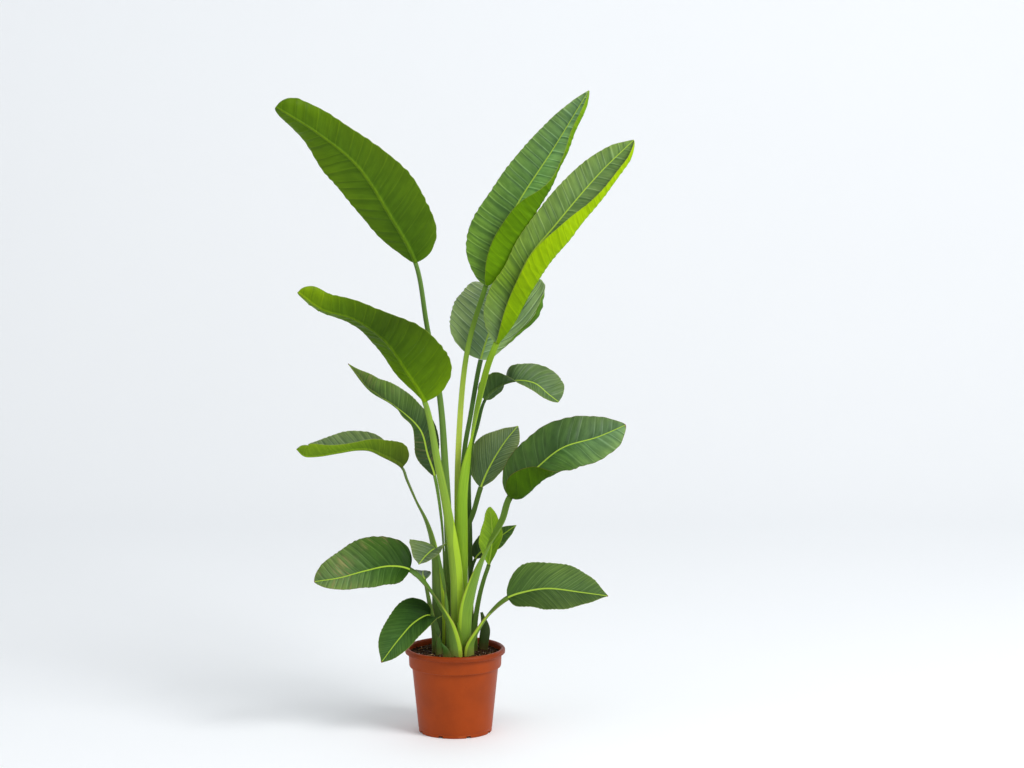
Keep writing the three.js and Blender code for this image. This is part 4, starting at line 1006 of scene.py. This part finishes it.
def pot_surface(settings):
    """The pot as a closed wall turned round Z, with eight openings cut in the corner of its foot."""
    rim, foot, top = settings.rim_diameter / MM / 2, settings.foot_diameter / MM / 2, settings.height / MM
    wall = settings.wall / MM
    step, under_rim = top - COLLAR_HEIGHT, top - RIM_HEIGHT
    collar, body = rim - COLLAR_INSET, rim - BODY_INSET
    notch_in, notch_top, floor = foot - NOTCH_DEPTH, NOTCH_HEIGHT, FLOOR_TOP
    profile = rounded([
        [0, 0, 0], [notch_in, 0, 0], [foot, 0, 0.9], [foot, notch_top, 0], [foot, 7.2, 0.5],
        [foot + 0.8, 8.2, 0.5], [body, step - 1, 0.8], [collar - 0.8, step, 0.8], [collar, step + 2, 0.8],
        [collar + 1, under_rim, 0.5], [rim, under_rim, 1.4], [rim, top - 3.2, 1.6],
        [rim - 3, top - 0.3, 1.2], [rim - 6, top, 1.4], [rim - 8, top - 3, 1.2],
        [collar + 1 - wall, under_rim, 0.8], [collar - wall, step + 1, 0.8], [body - wall, step - 2, 0.8],
        [foot - wall, notch_top, 0], [foot - wall, floor, 0], [notch_in, floor, 0], [0, floor, 0],
    ])
    notch_half = np.arcsin(NOTCH_HALF_WIDTH / foot)
    within = np.linspace(-notch_half, notch_half, NOTCH_STEPS + 1)[:-1]
    between = np.linspace(notch_half, 2 * np.pi / NOTCHES - notch_half, BETWEEN_STEPS + 1)[:-1]
    sector = np.concatenate([within, between])
    turns = np.concatenate([sector + np.pi * (2 * k + 1) / NOTCHES for k in range(NOTCHES)])
    points = lathe(profile[1:-1], turns)
    rows, sides = points.shape[:2]
    index = np.arange(rows * sides).reshape(rows, sides)
    close = np.roll(index, -1, axis=1)
    quads = np.stack([index[:-1], close[:-1], close[1:], index[1:]], -1)
    row_at = lambda r, z: int(np.argmin(np.hypot(profile[1:-1, 0] - r, profile[1:-1, 1] - z)))
    low_out, high_out = row_at(notch_in, 0), row_at(foot, notch_top)
    high_in, low_in = row_at(foot - wall, notch_top), row_at(notch_in, floor)
    open_side = np.tile(np.arange(len(sector)) < NOTCH_STEPS, NOTCHES)
    open_row = np.zeros(rows - 1, bool)
    open_row[low_out:high_out] = True
    open_row[high_in:low_in] = True
    kept = ~(open_row[:, None] & open_side[None])
    faces = quads[kept].tolist()
    for a, b in ((high_out, high_in), (low_in, low_out)):
        faces += np.stack([index[a], close[a], close[b], index[b]], -1)[open_side].tolist()
    edge = list(range(low_out, high_out + 1)) + list(range(high_in, low_in + 1))
    for k in range(NOTCHES):
        first, last = k * len(sector), k * len(sector) + NOTCH_STEPS
        faces.append([int(index[row, first]) for row in edge])
        faces.append([int(index[row, last]) for row in edge][::-1])
    points = points.reshape(-1, 3)
    centre_out, centre_in = len(points), len(points) + 1
    points = np.vstack([points, [0, 0, 0], [0, 0, floor]])
    ring = np.arange(sides)
    around = np.roll(ring, -1)
    faces += np.stack([np.full(sides, centre_out), around, ring], -1).tolist()
    last_row = (rows - 1) * sides
    faces += np.stack([np.full(sides, centre_in), last_row + ring, last_row + around], -1).tolist()
    return points, faces


def soil_radius(pot):
    """Radius of the soil where it meets the pot, in millimetres."""
    return pot.rim_diameter / MM / 2 - SOIL_INSET


def soil_height(x, y, settings, reach):
    """Height of the soil: a parabola over the distance out, plus three sizes of noise, less at the edge."""
    out = np.hypot(x, y) / reach
    mound = settings.edge_height / MM + settings.mound / MM * (1 - out ** 2)
    rough = 1.5 * value_noise(x, y, 17, 3) + 1.3 * value_noise(x, y, 7, 5) + 0.8 * value_noise(x, y, 3.1, 7)
    return mound + rough * (1 - 0.6 * out ** 6)


def soil_surface(settings, pot):
    """The root ball: a crumbly top on rings, a wall that follows the inside of the pot, a floor."""
    reach = soil_radius(pot)
    inner = pot.foot_diameter / MM / 2 - SOIL_FOOT_INSET
    shoulder = pot.rim_diameter / MM / 2 - SOIL_SHOULDER_INSET
    step = pot.height / MM - COLLAR_HEIGHT
    turns = np.linspace(0, 2 * np.pi, SOIL_TURNS, endpoint=False)
    radii = reach * (1 - np.linspace(0, 0.985, SOIL_RINGS) ** 1.1)
    wall = np.array([[inner, SOIL_FLOOR], [shoulder, step - 2], [reach - 1.2, step + 2],
                     [reach, SOIL_WALL_TOP]])
    rim = lathe(wall, turns)
    top = lathe(np.stack([radii, 0 * radii], -1), turns)
    top[..., 2] = soil_height(top[..., 0], top[..., 1], settings, reach)
    points = np.concatenate([rim, top])
    quads, caps = ring_faces(len(points), len(turns))
    return points.reshape(-1, 3), quads.tolist() + caps


def lumps(count, settings, soil_reach, seed, reach, sizes, flatness):
    """Loose bits on the soil: twenty-sided lumps, each sunk in by part of its height.

    Each is stretched, has its corners moved in and out, and is tilted and turned, all at random.
    """
    rng = np.random.default_rng(seed)
    golden = (1 + 5 ** 0.5) / 2
    corners = np.array([[-1, golden, 0], [1, golden, 0], [-1, -golden, 0], [1, -golden, 0], [0, -1, golden],
                        [0, 1, golden], [0, -1, -golden], [0, 1, -golden], [golden, 0, -1], [golden, 0, 1],
                        [-golden, 0, -1], [-golden, 0, 1]]) / np.hypot(1, golden)
    sides = np.array([[0, 11, 5], [0, 5, 1], [0, 1, 7], [0, 7, 10], [0, 10, 11], [1, 5, 9], [5, 11, 4],
                      [11, 10, 2], [10, 7, 6], [7, 1, 8], [3, 9, 4], [3, 4, 2], [3, 2, 6], [3, 6, 8],
                      [3, 8, 9], [4, 9, 5], [2, 4, 11], [6, 2, 10], [8, 6, 7], [9, 8, 1]])
    size = rng.uniform(*sizes, (count, 1, 1)) * rng.uniform(0.55, 1.3, (count, 1, 3)) * [1, 1, flatness]
    shape = corners * size * rng.uniform(0.75, 1.2, (count, 12, 1))
    yaw, tilt = rng.uniform(0, 2 * np.pi, count), rng.normal(0, 0.35, count)
    zero, one = np.zeros(count), np.ones(count)
    spin = np.array([[np.cos(yaw), -np.sin(yaw), zero], [np.sin(yaw), np.cos(yaw), zero], [zero, zero, one]])
    lean = np.array([[one, zero, zero], [zero, np.cos(tilt), -np.sin(tilt)],
                     [zero, np.sin(tilt), np.cos(tilt)]])
    shape = np.einsum("ijn,nkj->nki", spin, np.einsum("ijn,nkj->nki", lean, shape))
    radius, turn = reach * np.sqrt(rng.uniform(0, 1, count)), rng.uniform(0, 2 * np.pi, count)
    x, y = radius * np.cos(turn), radius * np.sin(turn)
    z = soil_height(x, y, settings, soil_reach) + 0.35 * size.mean(axis=(1, 2))
    points = shape + np.stack([x, y, z], -1)[:, None]
    faces = (sides[None] + 12 * np.arange(count)[:, None, None]).reshape(-1, 3)
    return points.reshape(-1, 3), faces.tolist()


def rootlets(settings, soil_reach):
    """Thin dry rootlets: round tapered tubes along short wavy lines, arched a little over the soil.

    The heading swings by a sine of the share of the length, and the line is held 3 mm inside the
    edge of the soil.
    """
    # Where each one starts, its length in millimetres, and its heading in radians.
    starts = [(44, -66, 38, 2.4), (58, -52, 30, 2.0), (36, -74, 26, 2.9), (62, -36, 24, 1.7),
              (-30, -72, 20, 0.6), (-58, -40, 26, 0.3), (8, -78, 22, 0.2), (30, 58, 30, 2.6),
              (-50, 46, 28, 5.2), (-70, 12, 24, 1.2)]
    points, faces = [], []
    turn = np.linspace(0, 2 * np.pi, 8, endpoint=False)
    f = np.linspace(0, 1, 14)
    for number, (x0, y0, length, heading) in enumerate(starts):
        bow = 0.9 * np.sin(3.1 * f + number)
        x = x0 + length * np.cumsum(np.cos(heading + bow)) / len(f)
        y = y0 + length * np.cumsum(np.sin(heading + bow)) / len(f)
        hold = np.minimum(1, (soil_reach - 3) / np.hypot(x, y))
        x, y = x * hold, y * hold
        z = soil_height(x, y, settings, soil_reach) + 0.9 + 1.4 * np.sin(np.pi * f)
        centre = np.stack([x, y, z], -1)
        forward = unit(np.gradient(centre, axis=0))
        side = unit(np.cross(forward, [0, 0, 1]))
        up = np.cross(side, forward)
        radius = (0.62 - 0.42 * f)[:, None, None]
        tube = centre[:, None] + radius * (side[:, None] * np.cos(turn)[None, :, None]
                                           + up[:, None] * np.sin(turn)[None, :, None])
        quads, caps = ring_faces(len(f), len(turn))
        offset = number * len(f) * len(turn)
        points.append(tube.reshape(-1, 3))
        faces += (quads[:, ::-1] + offset).tolist()
        faces += [[corner + offset for corner in cap[::-1]] for cap in caps]
    return np.vstack(points), faces


# ---------------------------------------------------------------- operators
def need_node(name):
    """The name of a CAD node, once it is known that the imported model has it."""
    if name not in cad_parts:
        raise RuntimeError(f"The packed model has no node named {name}")
    return name


class PLANT_OT_make_blades(bpy.types.Operator):
    """Make the blades of all leaves"""
    bl_idname = "plant.make_blades"
    bl_label = "Make Blades"
    bl_options = {"REGISTER", "UNDO"}

    def execute(self, context):
        settings = context.scene.plant_leaves
        for leaf in LEAVES:
            name = leaf["name"]
            line, stalk = leaf_line(leaf)
            points, faces, attributes, slots = blade_surface(leaf, line, stalk, settings)
            finishes = [
                blade_finish(name + "_upper_face", leaf["upper"], leaf, settings, under=False),
                blade_finish(name + "_underside", leaf["under"], leaf, settings, under=True),
            ]
            node = need_node(name + "_blade")
            add_piece("leaf_" + name, points, faces, finishes, [node], attributes, slots)
        return {"FINISHED"}


class PLANT_OT_make_stalks(bpy.types.Operator):
    """Make the stalks of all leaves"""
    bl_idname = "plant.make_stalks"
    bl_label = "Make Stalks"
    bl_options = {"REGISTER", "UNDO"}

    def execute(self, context):
        settings = context.scene.plant_leaves
        for leaf in LEAVES:
            name = leaf["name"]
            line, stalk = leaf_line(leaf)
            points, faces, attributes = stalk_surface(leaf, line, stalk)
            finish = stalk_finish(name + "_stem", leaf["stem"], settings, leaf.get("wing"))
            node = need_node(name + "_stalk")
            add_piece("stem_" + name, points, faces, [finish], [node], attributes)
        return {"FINISHED"}


class PLANT_OT_make_sheaths(bpy.types.Operator):
    """Make the small sheaths and the shoot at the foot of the clump"""
    bl_idname = "plant.make_sheaths"
    bl_label = "Make Sheaths"
    bl_options = {"REGISTER", "UNDO"}

    def execute(self, context):
        settings = context.scene.plant_leaves
        for sheath in SHEATHS:
            name = sheath["name"]
            line, length = leaf_line(sheath)
            points, faces, attributes = stalk_surface(
                sheath, line, length, step=3.0, hollow=0.5, pointed=True,
            )
            finish = stalk_finish(name + "_skin", sheath["stem"], settings, old=True)
            add_piece("foot_" + name, points, faces, [finish], [need_node(name)], attributes)
        return {"FINISHED"}


class PLANT_OT_make_pot(bpy.types.Operator):
    """Make the nursery pot"""
    bl_idname = "plant.make_pot"
    bl_label = "Make Pot"
    bl_options = {"REGISTER", "UNDO"}

    def execute(self, context):
        settings = context.scene.plant_pot
        points, faces = pot_surface(settings)
        add_piece("nursery_pot", points, faces, [pot_finish(settings)], [need_node("pot")])
        return {"FINISHED"}


class PLANT_OT_make_soil(bpy.types.Operator):
    """Make the soil with its crumbs, pale grit and rootlets"""
    bl_idname = "plant.make_soil"
    bl_label = "Make Soil"
    bl_options = {"REGISTER", "UNDO"}

    def execute(self, context):
        settings = context.scene.plant_soil
        pot = context.scene.plant_pot
        reach = soil_radius(pot)
        points, faces = soil_surface(settings, pot)
        earth = soil_finish("potting_soil", tuple(settings.colour), 0.45)
        add_piece("potting_soil", points, faces, [earth], [need_node("soil")])
        loose = soil_finish("loose_crumbs", tinted(settings.colour, 1.6), 0.6)
        points, faces = lumps(
            settings.crumbs, settings, reach, seed=11, reach=reach - 1.5, sizes=(0.8, 2.3), flatness=0.7,
        )
        add_piece("loose_crumbs", points, faces, [loose])
        pale = soil_finish("pale_grit", tuple(settings.grit_colour), 0.15)
        points, faces = lumps(
            settings.grit, settings, reach, seed=23, reach=reach - 4, sizes=(0.7, 1.6), flatness=0.8,
        )
        add_piece("pale_grit", points, faces, [pale])
        dry = soil_finish("dry_rootlets", tuple(settings.rootlet_colour), 0.3)
        points, faces = rootlets(settings, reach)
        add_piece("dry_rootlets", points, faces, [dry])
        return {"FINISHED"}


class PLANT_OT_make_stage(bpy.types.Operator):
    """Make the floor and backdrop, the lights and the camera"""
    bl_idname = "plant.make_stage"
    bl_label = "Make Stage"
    bl_options = {"REGISTER", "UNDO"}

    def execute(self, context):
        scene = context.scene
        settings = scene.plant_stage
        # A floor just below the pot that turns up into a backdrop through a quarter circle.
        reach, bend_start, bend, top, sink = 7, 2.2, 1.2, 6, 0.0002
        turn = np.linspace(0, np.pi / 2, 25)
        depth = np.concatenate([[-reach], bend_start + bend * np.sin(turn), [bend_start + bend]])
        height = np.concatenate([[0], bend - bend * np.cos(turn), [top]]) - sink
        points = np.array([[x, y, z] for y, z in zip(depth, height) for x in (-reach, reach)])
        faces = [[2 * i, 2 * i + 1, 2 * i + 3, 2 * i + 2] for i in range(len(depth) - 1)]
        mesh = bpy.data.meshes.new("studio_floor")
        mesh.from_pydata(points.tolist(), [], faces)
        mesh.polygons.foreach_set("use_smooth", np.ones(len(faces), bool))
        paper = Finish("studio_paper", IOR=1.4)
        tint = paper.noise(paper.place(), 1.5)
        pale = tuple(settings.floor_colour)
        colour = paper.mix(tint, tinted(pale, 0.985), pale)
        mesh.materials.append(paper.surface(colour, paper.step(tint, 0, 1, 0.7, 0.8), tint, 0.0001))
        # Seen from behind, the backdrop lets the eye through, so that the plant shows from every side.
        clear = paper.node("ShaderNodeBsdfTransparent", {})
        behind = paper.node("ShaderNodeNewGeometry", {}, output=6)
        seen = paper.node("ShaderNodeMixShader", {0: behind, 1: paper.shader.outputs[0], 2: clear})
        paper.feed(paper.tree.nodes["Material Output"].inputs[0], seen)
        floor = bpy.data.objects.new("studio_floor", mesh)
        scene.collection.objects.link(floor)

        world = bpy.data.worlds.new("daylight")
        world.use_nodes = True
        sky = world.node_tree.nodes["Background"]
        sky.inputs["Color"].default_value = (0.96, 0.98, 1.0, 1)
        sky.inputs["Strength"].default_value = settings.daylight
        scene.world = world
        add_light("key_light", (2.8, -2.4, 3.6), LIGHT_TARGET, 2.0, settings.key_power)
        add_light("fill_light", (-3.2, -2.4, 1.8), LIGHT_TARGET, 2.5, settings.fill_power)

        data = bpy.data.cameras.new("front_view")
        data.sensor_fit = "HORIZONTAL"
        data.sensor_width = SENSOR_WIDTH
        data.lens = CAMERA_LENS
        data.clip_end = 60
        camera = bpy.data.objects.new("front_view", data)
        camera.location = CAMERA_PLACE
        camera.rotation_euler = (np.radians(90 - CAMERA_DOWN), 0, 0)
        scene.collection.objects.link(camera)
        scene.camera = camera
        scene.view_settings.view_transform = "Standard"
        return {"FINISHED"}


def add_light(name, place, target, size, power):
    """A square area light that looks at target."""
    data = bpy.data.lights.new(name, "AREA")
    data.size = size
    data.energy = power
    light = bpy.data.objects.new(name, data)
    bpy.context.scene.collection.objects.link(light)
    forward = unit(np.subtract(target, place))
    light.location = place
    light.rotation_euler = (np.arccos(-forward[2]), 0, np.arctan2(-forward[0], forward[1]))


# ---------------------------------------------------------------- sidebar and registration
OPERATORS = (PLANT_OT_make_pot, PLANT_OT_make_soil, PLANT_OT_make_stalks, PLANT_OT_make_sheaths,
             PLANT_OT_make_blades, PLANT_OT_make_stage)
SETTINGS = {"plant_pot": PotSettings, "plant_soil": SoilSettings, "plant_leaves": LeafSettings,
            "plant_stage": StageSettings}


class PLANT_PT_sidebar(bpy.types.Panel):
    """Lists the steps that build the potted plant"""
    bl_idname = "PLANT_PT_sidebar"
    bl_label = "Potted Bird of Paradise"
    bl_space_type = "VIEW_3D"
    bl_region_type = "UI"
    bl_category = "Plant"

    def draw(self, context):
        for operator in OPERATORS:
            self.layout.operator(operator.bl_idname)
        for key in SETTINGS:
            settings = getattr(context.scene, key)
            box = self.layout.box()
            for name in settings.__annotations__:
                box.prop(settings, name)


def register():
    """Registers the classes and hangs each group of settings on the scene."""
    for kind in (*SETTINGS.values(), *OPERATORS, PLANT_PT_sidebar):
        bpy.utils.register_class(kind)
    for key, kind in SETTINGS.items():
        setattr(bpy.types.Scene, key, bpy.props.PointerProperty(type=kind))


def unregister():
    """Takes back what register did."""
    for key in SETTINGS:
        delattr(bpy.types.Scene, key)
    for kind in (PLANT_PT_sidebar, *reversed(OPERATORS), *reversed(list(SETTINGS.values()))):
        bpy.utils.unregister_class(kind)


def main():
    """Makes everything in order."""
    register()
    bpy.ops.plant.make_pot()
    bpy.ops.plant.make_soil()
    bpy.ops.plant.make_stalks()
    bpy.ops.plant.make_sheaths()
    bpy.ops.plant.make_blades()
    bpy.ops.plant.make_stage()
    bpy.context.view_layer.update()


if __name__ == "__main__":
    main()
